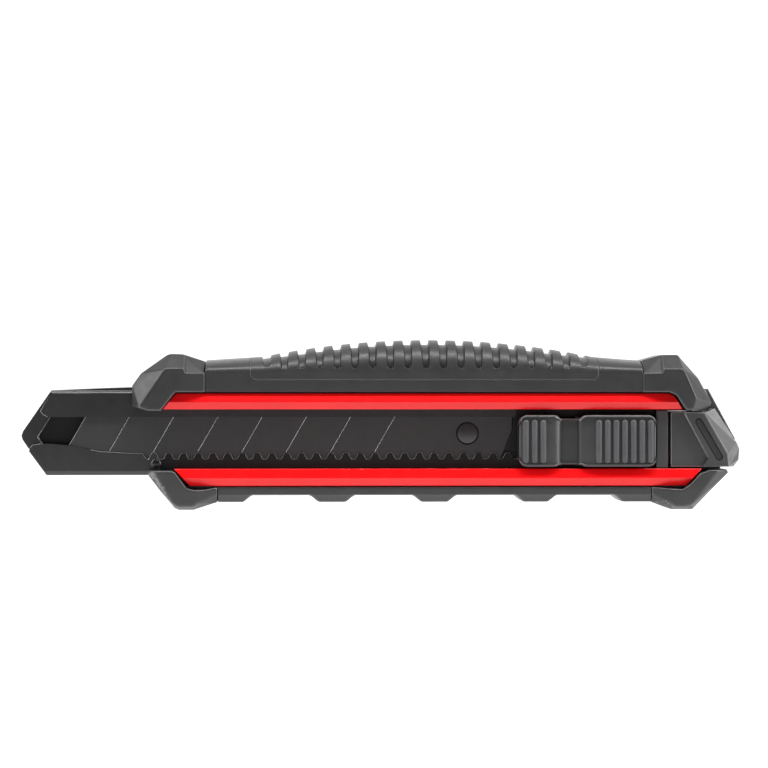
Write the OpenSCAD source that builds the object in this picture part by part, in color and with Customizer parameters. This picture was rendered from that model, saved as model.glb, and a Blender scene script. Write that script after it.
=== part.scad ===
// Snap-off utility knife with an auto-lock thumb slide.
// X runs along the knife with the nose at -X, Z is up with the ribbed spine on top,
// and the blade window faces -Y. The knife stands on its two lower bumpers at Z = 0.

/* [Blade] */
// Height of the blade, a standard snap-off size
blade_h = 18; // [17.6:0.1:18]
// Thickness of the blade
blade_t = 0.5; // [0.4:0.05:0.5]
// Distance between two score lines
segment = 10; // [10:1:10]
// Number of score lines
score_lines = 7; // [3:1:8]
// Angle of the cutting end and of the score lines
blade_angle = 60; // [58:1:62]
// Radius of the round hole in the tang
tang_hole_r = 2.6; // [2.4:0.1:3]

/* [Channel] */
// Thickness of the folded sheet
sheet = 0.5; // [0.4:0.05:0.5]
// Depth of the channel from its lips to its back wall, outside
channel_depth = 2.8; // [2.8:0.1:3]
// Rack teeth on each blade segment
teeth_per_segment = 3; // [3:1:3]
// Height of a rack tooth
tooth_h = 1.4; // [1:0.1:1.4]

/* [Body] */
// Half of the thickness across the rails' ridges
rail_half = 9.95; // [9.6:0.05:10]
// Half of the thickness of the metal core under the grips
core_half = 8.2; // [8:0.1:8.4]
// Height of the upper rail's lower edge
upper_rail_z = 22.6; // [22.5:0.1:22.7]
// Height of the lower rail's upper edge
lower_rail_z = 9.2; // [9.1:0.1:9.2]

/* [Grip] */
// Half of the thickness of the spine grip
grip_half = 9.7; // [9.5:0.1:9.8]
// Half of the thickness of the corner bumpers
bumper_half = 11; // [10.6:0.1:11.2]
// Height of the spine at its crest
crest_z = 38.3; // [38:0.1:38.6]
// Number of cross grooves in the ribbed insert
groove_count = 19; // [9:2:19]
// Distance between two cross grooves
groove_pitch = 3.98; // [3.6:0.02:4]
// Width of a cross groove
groove_w = 1.5; // [1.2:0.1:1.7]
// Depth of a cross groove below the spine's surface
groove_depth = 1.05; // [0.8:0.05:1.2]

/* [Thumb slide] */
// Radius of the two posts that guide the thumb slide
post_r = 1.2; // [1:0.05:1.3]
// Radial running clearance of the posts in their bores
post_clearance = 0.07; // [0.05:0.01:0.1]
// Ridges on the front pad
front_ridges = 3; // [1:1:3]
// Ridges on the rear pad
rear_ridges = 7; // [1:1:7]
// Distance between two ridges
ridge_pitch = 1.95; // [1.9:0.05:2]

/* [Stored blades] */
// Number of spare blades in the magazine
spare_count = 3; // [1:1:3]

/* [Hidden] */
$fn = 48;

eps = 0.01;
far = 60;                                  // longer than any cut across the knife

// Planes across the knife, from the window side to the back
lip_y = -5.5;                              // outer face of the channel's lips
channel_back_y = lip_y + channel_depth;    // outer face of the channel's back wall
split_y = channel_back_y;                  // joint face between the two frame halves
blade_y0 = lip_y + sheet + 0.05;           // front face of the blade
blade_y1 = blade_y0 + blade_t;             // back face of the blade
carrier_y0 = blade_y1 + 0.05;
carrier_y1 = channel_back_y - sheet - 0.1;
web_y = split_y + 1.1;                     // back face of the rear frame's web
bay_y = 3;                                 // back face of the magazine bay
ledge_y = 6.9;                             // ledge that the back cover rests on
cover_y = 8.4;                             // outer face of the back cover

// Heights and lengths
channel_z0 = 7.7;
channel_z1 = 26.85;
channel_x1 = 65;
blade_z0 = channel_z0 + sheet + 0.08;
blade_z1 = blade_z0 + blade_h;
blade_tip_x = -73.7;
tang_x = 30.1;
hole_x = 20.03;
hole_z = 17.13;
slant = 1 / tan(blade_angle);              // run per rise of a slanted edge

upper_lip_z = 20.85;
rack_top_z = 12.8;
rack_valley_z = rack_top_z - tooth_h;
rack_pitch = segment / teeth_per_segment;
rack_x0 = -50.87;                          // middle of the first whole tooth
rack_teeth = 34;
channel_rivet_xs = [-60, 0, 50];

core_top_z = 31;
core_bottom_z = 4.2;
rail_edge_half = 9.05;
upper_rail_top_z = 26.2;
lower_rail_bottom_z = 5.35;
parting_gap = 0.25;                        // thin gap between a rail and the soft grips
grip_z0 = upper_rail_top_z + parting_gap;
lower_grip_z1 = lower_rail_bottom_z - parting_gap;

window_x1 = 62.6;
bay_x0 = -43.2;
bay_z0 = 7.3;
bay_z1 = 27.05;
bay_top_z = 27.5;                          // top of the walls around the bay

spine_r = 187.9;                           // radius of the spine's long arc
spine_x = 11.1;                            // where the spine is highest
spine_zc = crest_z - spine_r;
shoulder_z = 30.6;                         // where the grip's flat side ends
insert_x0 = -29.2;
insert_x1 = 49.5;
insert_z = 29.1;
groove_z = 31.8;                           // lowest point of the cross grooves
groove_mid_x = 10.4;

slide_x0 = 31.3;
slide_x1 = 62.5;
slide_z0 = 9.63;
slide_z1 = 21.3;
slide_back_y = -6.9;
pad_y = -10.6;
saddle_y = -8.6;
saddle_x0 = 41.1;
saddle_x1 = 44.9;
post_z = 16.9;
post_xs = [35, 58.6];
plate_x0 = 44.5;
plate_x1 = 54.5;

upper_screw_xs = [-34.5, 54];
lower_screw_xs = [-25, 10, 45];
upper_screw_z = 29;
lower_screw_z = 5.75;
cover_screw_xs = [-38, 2, 42];
cover_screw_z = 15.9;

plastic = [0.21, 0.21, 0.215];
rubber = [0.16, 0.16, 0.165];
red_paint = [0.9, 0.03, 0.05];
black_steel = [0.13, 0.13, 0.13];
zinc = [0.7, 0.7, 0.72];

// ---------- shapes ----------

// Solid with an outline in the X-Z plane, from y0 to y1
module side_prism(outline, y0, y1) {
    translate([0, y1, 0]) rotate([90, 0, 0]) linear_extrude(y1 - y0) polygon(outline);
}

// Solid with an outline in the Y-Z plane, from x0 to x1
module bar_prism(outline, x0, x1) {
    translate([x0, 0, 0]) rotate([90, 0, 90]) linear_extrude(x1 - x0) polygon(outline);
}

// Solid with an outline in the X-Y plane, from z0 to z1
module plan_prism(outline, z0, z1) {
    translate([0, 0, z0]) linear_extrude(z1 - z0) polygon(outline);
}

// Box between two corners
module block(low, high) {
    translate(low) cube(high - low);
}

// Cylinder along Y, centred on x and z
module y_rod(x, z, y0, y1, r) {
    translate([x, y1, z]) rotate([90, 0, 0]) cylinder(h = y1 - y0, r = r);
}

// Countersunk socket screw whose head faces the back of the knife
module screw(x, z, head_y, tip_y, head_r, shank_r) {
    head_h = head_r - shank_r;
    difference() {
        union() {
            y_rod(x, z, tip_y, head_y - head_h, shank_r);
            translate([x, head_y - head_h - 0.3, z]) rotate([-90, 0, 0])
                cylinder(h = head_h, r1 = shank_r, r2 = head_r);
            y_rod(x, z, head_y - 0.3, head_y, head_r);
        }
        translate([x, head_y + eps, z]) rotate([90, 0, 0])
            cylinder(h = head_h * 0.8 + 0.3, r = head_r * 0.5, $fn = 6);
    }
}

// Hole that takes the same screw with clearance, open to the back
module screw_hole(x, z, head_y, tip_y, head_r, shank_r, clearance = 0.05) {
    head_h = head_r - shank_r;
    y_rod(x, z, tip_y - clearance, far, shank_r + clearance);
    translate([x, head_y - head_h - 0.3 - clearance, z]) rotate([-90, 0, 0])
        cylinder(h = head_h + eps, r1 = shank_r + clearance, r2 = head_r + clearance);
    y_rod(x, z, head_y - 0.3 - clearance, far, head_r + clearance);
}

// Points on an arc about (cx, cz), from angle a0 to a1
function arc(cx, cz, r, a0, a1, steps) =
    [for (i = [0:steps]) let (a = a0 + (a1 - a0) * i / steps) [cx + r * cos(a), cz + r * sin(a)]];

// Height of the spine above x, lowered by an inset
function spine_z(x, inset = 0) = spine_zc + sqrt((spine_r - inset) * (spine_r - inset)
    - (x - spine_x) * (x - spine_x));

// ---------- metal frame ----------

upper_rail_outline = [[-48.8, upper_rail_z], [-45.8, upper_rail_top_z], [65.2, upper_rail_top_z],
    [66.6, 25.6], [68.4, upper_rail_z]];
lower_rail_outline = [[-46.2, lower_rail_z], [-42.7, lower_rail_bottom_z],
    [69.2, lower_rail_bottom_z], [72.8, lower_rail_z]];

// Faceted rail section on the window side, between two heights
function rail_section(z0, z1, ridge_z, y_in) = [[y_in, z0], [-rail_edge_half, z0],
    [-rail_half, ridge_z], [-rail_edge_half, z1], [y_in, z1]];

// The two rails of the window side
module rails(y_in) {
    intersection() {
        bar_prism(rail_section(upper_rail_z, upper_rail_top_z, 24.25, y_in), -50, 70);
        side_prism(upper_rail_outline, -far, far);
    }
    intersection() {
        bar_prism(rail_section(lower_rail_bottom_z, lower_rail_z, 7.1, y_in), -50, 75);
        side_prism(lower_rail_outline, -far, far);
    }
}

// Metal that the soft grips and bumpers wrap, between two planes
module core(y0, y1) {
    side_prism([[-51, upper_rail_top_z], [-46.5, core_top_z], [64.5, core_top_z],
        [68.5, upper_rail_top_z]], y0, y1);
    side_prism([[-44, lower_rail_bottom_z], [-43, core_bottom_z], [69, core_bottom_z],
        [70, lower_rail_bottom_z]], y0, y1);
}

// Metal under the channel, between the lower rail and the joint face
module lower_root() {
    side_prism([[-42.5, lower_rail_bottom_z], [-44, channel_z0 - 0.05], [70, channel_z0 - 0.05],
        [69, lower_rail_bottom_z]], lip_y - 0.02, split_y);
}

// Web behind the channel and the walls around the magazine bay
module bay_walls() {
    side_prism([[-45.9, lower_rail_z], [-43, lower_rail_bottom_z - eps], [65.7, lower_rail_bottom_z - eps],
        [65.7, bay_top_z], [-45.9, bay_top_z]], split_y, ledge_y);
}

module all_case_screw_holes() {
    for (x = upper_screw_xs) screw_hole(x, upper_screw_z, core_half - 0.6, -6.5, 2, 1);
    for (x = lower_screw_xs) screw_hole(x, lower_screw_z, core_half - 0.4, -6.5, 1.5, 0.85);
}

// Window-side half: two rails, the core behind them and the web that closes the window
module front_frame() {
    color(red_paint) difference() {
        union() {
            rails(lip_y - 0.02);
            core(-core_half, split_y);
            lower_root();
            block([window_x1, -7, lower_rail_z - eps], [65.1, lip_y - 0.02, upper_rail_z + eps]);
        }
        // slot for the channel
        block([-far, lip_y - 0.02, channel_z0 - 0.05], [far + 20, 0, channel_z1 + 0.05]);
        all_case_screw_holes();
    }
}

// Back half: rails, the web behind the channel, the magazine bay and the cover's ledge
module rear_frame() {
    color(red_paint) difference() {
        union() {
            intersection() {
                mirror([0, 1, 0]) rails(-bay_y);
                block([-far, bay_y, 0], [far + 30, far, 40]);
            }
            core(split_y, core_half);
            bay_walls();
        }
        // magazine bay, open at the tail
        block([bay_x0, web_y, bay_z0], [far + 20, bay_y, bay_z1]);
        // space between the magazine and the back cover, with three screw ribs left standing
        difference() {
            block([bay_x0, bay_y - eps, 10.8], [far + 20, ledge_y + eps, 21.1]);
            for (x = cover_screw_xs) block([x - 2.6, bay_y - 1, 10], [x + 2.6, ledge_y, 22]);
        }
        // recess for the back cover
        block([-45.9, ledge_y, lower_rail_z], [far + 20, far, upper_rail_z]);
        // seat for the nose support
        block([-far, -far, lower_rail_z], [-45.9, far, upper_rail_z]);
        all_case_screw_holes();
        for (x = cover_screw_xs) screw_hole(x, cover_screw_z, cover_y - 0.2, 3.6, 2, 1);
    }
}

// Flat cover between the rear rails, with slanted finger grooves
module back_cover() {
    groove_xs = [for (i = [-4:4]) if (i != 0) cover_screw_xs[1] + i * 7];
    color(plastic) difference() {
        block([-45.8, ledge_y, lower_rail_z + 0.1], [65.6, cover_y, upper_rail_z - 0.1]);
        for (x = groove_xs)
            side_prism([[x - 2.6 - 0.6, 11.4], [x - 2.6 + 0.6, 11.4], [x + 2.6 + 0.6, 20.4],
                [x + 2.6 - 0.6, 20.4]], cover_y - 0.5, far);
        for (x = cover_screw_xs) screw_hole(x, cover_screw_z, cover_y - 0.2, 3.6, 2, 1);
    }
}

module cover_screws() {
    color(zinc) for (x = cover_screw_xs) screw(x, cover_screw_z, cover_y - 0.2, 3.6, 2, 1);
}

module case_screws() {
    color(zinc) {
        for (x = upper_screw_xs) screw(x, upper_screw_z, core_half - 0.6, -6.5, 2, 1);
        for (x = lower_screw_xs) screw(x, lower_screw_z, core_half - 0.4, -6.5, 1.5, 0.85);
    }
}

// Block that closes the rear end of the window
module window_stop() {
    color(plastic) block([window_x1, -8.3, lower_rail_z + 0.1], [65.2, -7, upper_rail_z - 0.2]);
}

// ---------- channel ----------

// One rounded rack tooth around x, from valley to valley
function tooth(x) = [[x - rack_pitch * 0.5, rack_valley_z], [x - rack_pitch * 0.36, rack_valley_z],
    [x - rack_pitch * 0.16, rack_top_z], [x + rack_pitch * 0.16, rack_top_z],
    [x + rack_pitch * 0.36, rack_valley_z]];

rack_edge = [for (i = [0:rack_teeth - 1]) each tooth(rack_x0 + i * rack_pitch)];
upper_lip_outline = [[channel_x1, channel_z1], [channel_x1, upper_lip_z], [-74.9, upper_lip_z],
    [-75.9, 21.4], [-76.5, 22.2], [-74, 26.2], [-74, channel_z1]];
lower_lip_outline = concat([[channel_x1, channel_z0], [-75, channel_z0], [-79, 13.1], [-78.9, 13.9],
    [-78.2, 14.6], [-76.5, 14.85], [-73.8, 14.8], [-69.5, 14.4], [-65.1, 13.5], [-63, 13.1],
    [-53.4, 12.6]], rack_edge, [[channel_x1, rack_valley_z]]);
back_wall_outline = [[channel_x1, channel_z0], [-75, channel_z0], [-79.2, 13.7], [-80.6, 15.8],
    [-80.8, 16.7], [-80.4, 17.7], [-74.1, channel_z1], [channel_x1, channel_z1]];

// Folded steel sleeve with the lock rack on its lower lip
module blade_channel() {
    z_in0 = channel_z0 + sheet;
    z_in1 = channel_z1 - sheet;
    color(black_steel) difference() {
        union() {
            side_prism(back_wall_outline, channel_back_y - sheet, channel_back_y);
            side_prism(upper_lip_outline, lip_y, lip_y + sheet);
            side_prism(lower_lip_outline, lip_y, lip_y + sheet);
            side_prism([[-74, z_in1], [-74, channel_z1], [channel_x1, channel_z1],
                [channel_x1, z_in1]], lip_y, channel_back_y);
            side_prism([[-75, channel_z0], [-75.3, z_in0], [channel_x1, z_in0],
                [channel_x1, channel_z0]], lip_y, channel_back_y);
            // raised rim at the nose, which the stored blade's end stands behind
            side_prism([[-74.4, 26.41], [-80.4, 17.7], [-80.8, 16.7], [-80.6, 15.8],
                [-79.2, 13.7], [-76, 14.8], [-77.1, 16.3], [-74.4, 20.6]],
                channel_back_y - sheet - 0.6, channel_back_y);
        }
        for (x = channel_rivet_xs) y_rod(x, 10.4, channel_back_y - 1, far, 0.95);
        y_rod(-50.4, 10.3, lip_y - 1, lip_y + sheet + eps, 0.7);
    }
}

// Tongue and tapered block behind the channel at the nose
module nose_support() {
    color(plastic) union() {
        intersection() {
            side_prism([[-74.1, 26.9], [-62.1, 27.4], [-56.2, 27.6], [-46, 27.6], [-46, 8.4],
                [-73.5, 8.4], [-77.5, 14], [-78.6, 17.5]], split_y + 0.02, 9);
            plan_prism([[-79, split_y + 0.02], [-79, -1.9], [-74, -1.4], [-58, -0.7], [-51.1, -0.7],
                [-51.1, split_y + 0.02]], 0, 40);
        }
        intersection() {
            block([-58, split_y + 0.02, lower_rail_z + 0.1], [-46, 9, upper_rail_z - 0.1]);
            plan_prism([[-58, split_y + 0.02], [-58, -0.7], [-50.5, 6.6], [-48, 8.2], [-46, 8.4],
                [-46, split_y + 0.02]], 0, 40);
        }
    }
}

// Round rivet head beside the lower front bumper
module nose_rivet() {
    color(black_steel) {
        y_rod(-50.4, 10.3, lip_y - 0.5, lip_y, 1.1);
        y_rod(-50.4, 10.3, lip_y, lip_y + sheet, 0.65);
    }
}

// Flush rivets that hold the channel's back wall
module channel_rivets() {
    color(zinc) for (x = channel_rivet_xs)
        y_rod(x, 10.4, channel_back_y - sheet, x < -50 ? channel_back_y + 0.02 : channel_back_y, 0.9);
}

// ---------- soft grips ----------

// Section of the spine grip: flat sides, then an arch up to its top
function arch_section(half, top, z0) = concat([[half, z0], [half, shoulder_z]],
    [for (i = [1:15]) let (a = 90 * i / 16)
        [half * pow(cos(a), 0.8), shoulder_z + (top - shoulder_z) * pow(sin(a), 0.9)]],
    [for (i = [16:-1:1]) let (a = 90 * i / 16)
        [-half * pow(cos(a), 0.8), shoulder_z + (top - shoulder_z) * pow(sin(a), 0.9)]],
    [[-half, shoulder_z], [-half, z0]]);

// Side view of the spine above a base line, lowered by an inset
function spine_outline(base_z, inset = 0) = concat([[-39.2, base_z], [-39.2, 33.6 - inset]],
    [for (x = [-26.5:3.4:48.7]) [x, spine_z(x, inset)]], [[54.6, 34 - inset], [58.6, 33.7 - inset],
    [59.2, 31], [59.4, base_z]]);

// Spine grip as one full body, lowered by an inset on its arch
module spine_body(inset = 0) {
    intersection() {
        side_prism(spine_outline(grip_z0, inset), -far, far);
        bar_prism(arch_section(grip_half - inset, crest_z - inset, grip_z0), -40, 60);
    }
}

// Zone of the spine that belongs to the ribbed insert, with two rounded lower corners
insert_corner = 1.6;
insert_zone = concat([[insert_x0, 45], [insert_x0, insert_z + insert_corner]],
    arc(insert_x0 + insert_corner, insert_z + insert_corner, insert_corner, 200, 270, 3),
    arc(insert_x1 - insert_corner, insert_z + insert_corner, insert_corner, 270, 340, 3),
    [[insert_x1, insert_z + insert_corner], [insert_x1, 45]]);

// Round-bottomed slots across the spine
module cross_grooves() {
    for (i = [0:groove_count - 1]) {
        x = groove_mid_x + (i - (groove_count - 1) / 2) * groove_pitch;
        y_rod(x, groove_z + groove_w / 2, -far, far, groove_w / 2);
        block([x - groove_w / 2, -far, groove_z + groove_w / 2], [x + groove_w / 2, far, 45]);
    }
}

module upper_grip() {
    color(plastic) difference() {
        spine_body();
        side_prism(insert_zone, -far, far);
        core(-core_half, core_half);
        for (x = upper_screw_xs) y_rod(x, upper_screw_z, core_half - 1, far, 2.4);
    }
}

module grip_insert() {
    color(rubber) difference() {
        intersection() {
            spine_body();
            side_prism(insert_zone, -far, far);
        }
        core(-core_half, core_half);
        difference() {
            cross_grooves();
            spine_body(groove_depth);
        }
    }
}

// Belly grip with five pads
module lower_grip() {
    pad_xs = [[-36.4, -31], [-13.4, -7.9], [9.8, 15.1], [32.9, 37.8], [55.3, 61.4]];
    pad_z = 1.68;
    recess_z = 3.3;
    ramp = 2.4;
    belly = [for (p = pad_xs) each [[max(p[0] - ramp, -36.4), p[0] > -36 ? recess_z : pad_z],
        [p[0], pad_z], [p[1], pad_z], [min(p[1] + ramp, 61.4), p[1] < 61 ? recess_z : pad_z]]];
    color(plastic) difference() {
        intersection() {
            side_prism(concat([[61.4, lower_grip_z1], [-36.4, lower_grip_z1]], belly), -far, far);
            bar_prism([[-9.3, 6], [-9.3, 3.4], [-7.6, 1.6], [7.6, 1.6], [9.3, 3.4], [9.3, 6]], -40, 65);
        }
        core(-core_half, core_half);
        for (x = lower_screw_xs) y_rod(x, lower_screw_z, core_half - 1, far, 1.6);
    }
}

// ---------- corner bumpers ----------

// Bumper body: a flat face on each side, sloping out to a wider outline in the middle
module bumper_body(face, outline, mid_half) {
    hull() {
        side_prism(face, -bumper_half, bumper_half);
        side_prism(outline, -mid_half, mid_half);
    }
}

// Neck that takes a bumper down to the thickness of the grip next to it
module bumper_neck(x_thick, x_thin, z0, z_thick, z_thin) {
    hull() {
        neck_slice(x_thick, bumper_half, 7, z0, z_thick);
        neck_slice(x_thin, grip_half, 6, z0, z_thin);
    }
}

// Thin slice of a neck: flat sides up to the shoulder, then chamfers to a flat top
module neck_slice(x, half, top_half, z0, z_top) {
    bar_prism([[-half, z0], [-half, shoulder_z], [-top_half, z_top], [top_half, z_top],
        [half, shoulder_z], [half, z0]], x - eps, x + eps);
}

// Notch for a rail, open to the window side and to the back, with rubber left between
module rail_notch(outline) {
    side_prism(outline, -far, lip_y + 0.1);
    side_prism(outline, bay_y - 0.1, far);
}

// Room for the channel
module channel_space() {
    block([-far - 30, lip_y - 0.05, channel_z0 - 0.1], [channel_x1 + 0.1, split_y, bay_top_z]);
}

// Space that the metal, the channel and the nose tongue take inside the front bumpers
module front_inside() {
    core(-core_half, core_half);
    lower_root();
    bay_walls();
    block([-far - 30, lip_y - 0.05, channel_z0 - 0.1], [-20, 0, bay_top_z]);
    block([-far - 30, split_y, 20], [-50.9, -0.6, 27.75]);
    block([-far, -1, lower_rail_z], [-20, 9.2, upper_rail_z]);
}

module front_upper_bumper() {
    color(rubber) difference() {
        union() {
            bumper_body([[-48.1, 31.7], [-51.9, 25.3], [-54, 23], [-52, 22.3], [-43.8, 22.3], [-43.8, 31.7]],
                [[-55.7, 23.3], [-55.7, 27.9], [-53.7, 30.7], [-47.9, 34.8], [-47, 35.1], [-44.1, 35],
                [-43.8, 34.9], [-43.8, 22.3], [-52, 22.2]], 7.5);
            bumper_neck(-43.9, -39.3, 22.3, 34.9, 33.4);
        }
        rail_notch([[-30, 20], [-48.5, 20], [-49.05, 22.5], [-45.85, grip_z0], [-30, grip_z0]]);
        front_inside();
    }
}

module front_lower_bumper() {
    color(rubber) difference() {
        union() {
            bumper_body([[-50.7, 8.8], [-47.4, 4.9], [-46.3, 1.3], [-45.2, 0.8], [-41.7, 0.8], [-41, 1.5],
                [-41, 8.8]], [[-52.1, 8.9], [-52.1, 7.9], [-49.5, 4.4], [-46.2, 0.5], [-45.2, 0],
                [-41.7, 0], [-41, 0.3], [-41, 8.9]], 8.5);
            hull() {
                bar_prism([[-bumper_half, 8], [-bumper_half, 1.5], [-8.5, 0.3], [8.5, 0.3],
                    [bumper_half, 1.5], [bumper_half, 8]], -41.1, -41);
                bar_prism([[-9.4, 8], [-9.4, 3.4], [-7.6, 1.65], [7.6, 1.65], [9.4, 3.4], [9.4, 8]],
                    -36.6, -36.5);
            }
        }
        rail_notch([[-30, 12], [-46.2, 12], [-46.9, 8.9], [-46, 8.5], [-43.3, 4.9], [-41.7, 4.5],
            [-39.1, 4.6], [-36.4, lower_grip_z1], [-30, lower_grip_z1]]);
        front_inside();
    }
}

module rear_upper_bumper() {
    color(rubber) difference() {
        union() {
            bumper_body([[63.8, 31.6], [68.4, 31.6], [69.1, 30.1], [71.3, 25.1], [70.5, 22.4], [63.8, 22.4]],
                [[63.8, 34.9], [67.5, 34.9], [72.2, 29.6], [75.2, 24.1], [74.2, 22.3], [63.8, 22.2]], 7.5);
            bumper_neck(63.9, 59.5, 22.4, 34.9, 33.7);
        }
        rail_notch([[50, 20], [68, 20], [69.5, 22.2], [68.8, 22.8], [66.9, 25.7], [65.3, grip_z0],
            [50, grip_z0]]);
        core(-core_half, core_half);
        bay_walls();
        channel_space();
        cap_space();
    }
}

module rear_lower_bumper() {
    color(rubber) difference() {
        union() {
            bumper_body([[66, 8.9], [66, 0.8], [68.4, 0.7], [70.4, 1.2], [76.4, 8.9]],
                [[66, 8.9], [66, 0], [70.7, 0], [71.8, 1.4], [78.9, 8.3], [78.5, 9.05]], 8.5);
            hull() {
                bar_prism([[-9.4, 8], [-9.4, 3.4], [-7.6, 1.65], [7.6, 1.65], [9.4, 3.4], [9.4, 8]],
                    61.5, 61.6);
                bar_prism([[-bumper_half, 8], [-bumper_half, 1.3], [-8.5, 0], [8.5, 0],
                    [bumper_half, 1.3], [bumper_half, 8]], 66, 66.1);
            }
        }
        rail_notch([[50, 12], [74.3, 12], [74.3, 8.9], [72.3, 8.2], [70.3, 6], [68.4, 4.6], [64.8, 4.8],
            [61.4, lower_grip_z1], [50, lower_grip_z1]]);
        core(-core_half, core_half);
        lower_root();
        bay_walls();
        channel_space();
        cap_space();
    }
}

// ---------- blade and slide ----------

// Segmented blade with its cutting edge at the bottom, moved along X and placed at y
module blade_shape(shift_x, y0) {
    edge_h = 1.2;
    score_half = 0.12;
    score_depth = 0.1;
    translate([shift_x, y0, 0]) difference() {
        intersection() {
            side_prism([[blade_tip_x, blade_z0], [blade_tip_x + blade_h * slant, blade_z1],
                [tang_x, blade_z1], [tang_x, 17.9], [26.2, blade_z0]], -1, 1);
            bar_prism([[0, blade_z0 + edge_h], [blade_t / 2 - 0.03, blade_z0],
                [blade_t / 2 + 0.03, blade_z0], [blade_t, blade_z0 + edge_h], [blade_t, blade_z1],
                [0, blade_z1]], -80, 40);
        }
        for (i = [0:score_lines - 1]) {
            x = blade_tip_x + segment * (i + 1);
            foot = x - slant;
            head = x + (blade_h + 1) * slant;
            side_prism([[foot - score_half, blade_z0 - 1], [foot + score_half, blade_z0 - 1],
                [head + score_half, blade_z1 + 1], [head - score_half, blade_z1 + 1]], -1, score_depth);
        }
        y_rod(hole_x, hole_z, -1, 1, tang_hole_r);
    }
}

module snap_blade() {
    color(black_steel) blade_shape(0, blade_y0);
}

// Plate behind the blade, with the blade's peg, the shoulder behind the tang and two posts
module blade_carrier() {
    z0 = channel_z0 + sheet + 0.1;
    z1 = channel_z1 - sheet - 0.1;
    color(plastic) difference() {
        union() {
            block([12, carrier_y0, z0], [61.5, carrier_y1, z1]);
            y_rod(hole_x, hole_z, blade_y0, carrier_y0, tang_hole_r - 0.3);
            side_prism([[tang_x + 0.3, z1], [tang_x + 0.3, 17.8], [28.4, 13.3], [43.6, 13.3], [43.6, z1]],
                blade_y0, carrier_y0);
            for (x = post_xs) y_rod(x, post_z, -8, carrier_y0, post_r);
        }
        // window that the lock plate presses into
        block([plate_x0 - 0.5, -far, 11], [plate_x1 + 0.5, far, 23]);
    }
}

// Bowed leaf between the carrier and the thumb slide
module lock_spring() {
    bow_r = 4;
    crest_y = slide_back_y + 0.05;
    color(zinc) intersection() {
        difference() {
            translate([40.2, crest_y + bow_r, post_z - 2.5]) cylinder(h = 5, r = bow_r);
            translate([40.2, crest_y + bow_r, post_z - 3]) cylinder(h = 6, r = bow_r - 0.3);
        }
        block([30, crest_y - 1, 0], [50, blade_y0, 40]);
    }
}

// Two-pad button with a saddle between the pads
module thumb_slide() {
    corner = 2;
    front_ridge_xs = [for (i = [0:front_ridges - 1]) 32.9 + i * ridge_pitch];
    rear_ridge_xs = [for (i = [0:rear_ridges - 1]) 49.4 + i * ridge_pitch];
    pad_outline = concat(arc(slide_x0 + corner, slide_z1 - corner, corner, 180, 90, 6),
        arc(slide_x1 - corner, slide_z1 - corner, corner, 90, 0, 6),
        arc(slide_x1 - corner, slide_z0 + corner, corner, 0, -90, 6),
        arc(slide_x0 + corner, slide_z0 + corner, corner, -90, -180, 6));
    color(plastic) difference() {
        union() {
            intersection() {
                side_prism(pad_outline, -far, far);
                plan_prism([[slide_x0, slide_back_y], [slide_x0, -9.7], [slide_x0 + 0.9, pad_y],
                    [37.8, pad_y], [39.8, -10], [saddle_x0, saddle_y], [saddle_x1, saddle_y],
                    [46.3, -10], [48.4, pad_y], [slide_x1 - 0.9, pad_y], [slide_x1, -9.7],
                    [slide_x1, slide_back_y]], 0, 40);
            }
            for (x = concat(front_ridge_xs, rear_ridge_xs))
                translate([x, pad_y + 0.2, slide_z0 + 0.8])
                    cylinder(h = slide_z1 - slide_z0 - 1.8, r = 0.6);
            block([plate_x0, slide_back_y - eps, 13.6], [plate_x1, lip_y, 20.4]);
        }
        // the saddle is a little narrower than the pads
        for (z = [slide_z0 - 1, 20.6])
            block([saddle_x0, -far, z], [saddle_x1, slide_back_y - eps, z + 1.4]);
        for (x = post_xs) y_rod(x, post_z, -9.4, slide_back_y + 1, post_r + post_clearance);
    }
}

// Steel plate whose teeth stand in the rack until the thumb slide is pressed in
module lock_plate() {
    mesh_gap = 0.1;
    gap_z0 = rack_valley_z + mesh_gap;
    gap_z1 = rack_top_z + mesh_gap;
    first = ceil((plate_x0 - rack_x0) / rack_pitch - 0.16);
    last = floor((plate_x1 - rack_x0) / rack_pitch - 0.84);
    teeth_edge = [for (i = [last:-1:first]) let (x = rack_x0 + (i + 0.5) * rack_pitch)
        each [[x + rack_pitch * 0.34, gap_z1], [x + rack_pitch * 0.14, gap_z0],
            [x - rack_pitch * 0.14, gap_z0], [x - rack_pitch * 0.34, gap_z1]]];
    color(zinc) union() {
        side_prism(concat([[plate_x0, 20.4], [plate_x1, 20.4], [plate_x1, gap_z1]], teeth_edge,
            [[plate_x0, gap_z1]]), lip_y, lip_y + sheet);
        block([plate_x0, lip_y + sheet - eps, 13.6], [plate_x1, lip_y + sheet + 0.45, 20.4]);
        block([plate_x0, lip_y + sheet + 0.05, 20.3], [plate_x1, lip_y + sheet + 0.45, 22.4]);
    }
}

// ---------- magazine ----------

// Tray for spare blades, open at the tail
module blade_magazine() {
    color(plastic) difference() {
        block([bay_x0 + 0.1, web_y + 0.02, bay_z0 + 0.02], [64.5, bay_y - 0.02, bay_z1 - 0.02]);
        block([bay_x0 + 1.1, -0.6, blade_z0], [far + 20, 1.9, blade_z1 + 0.1]);
        y_rod(64.5, hole_z, -far, far, 5);
    }
}

module spare_blades() {
    color(black_steel) for (i = [0:spare_count - 1]) blade_shape(32, -0.4 + i * 0.7);
}

// ---------- tail cap ----------

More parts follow.
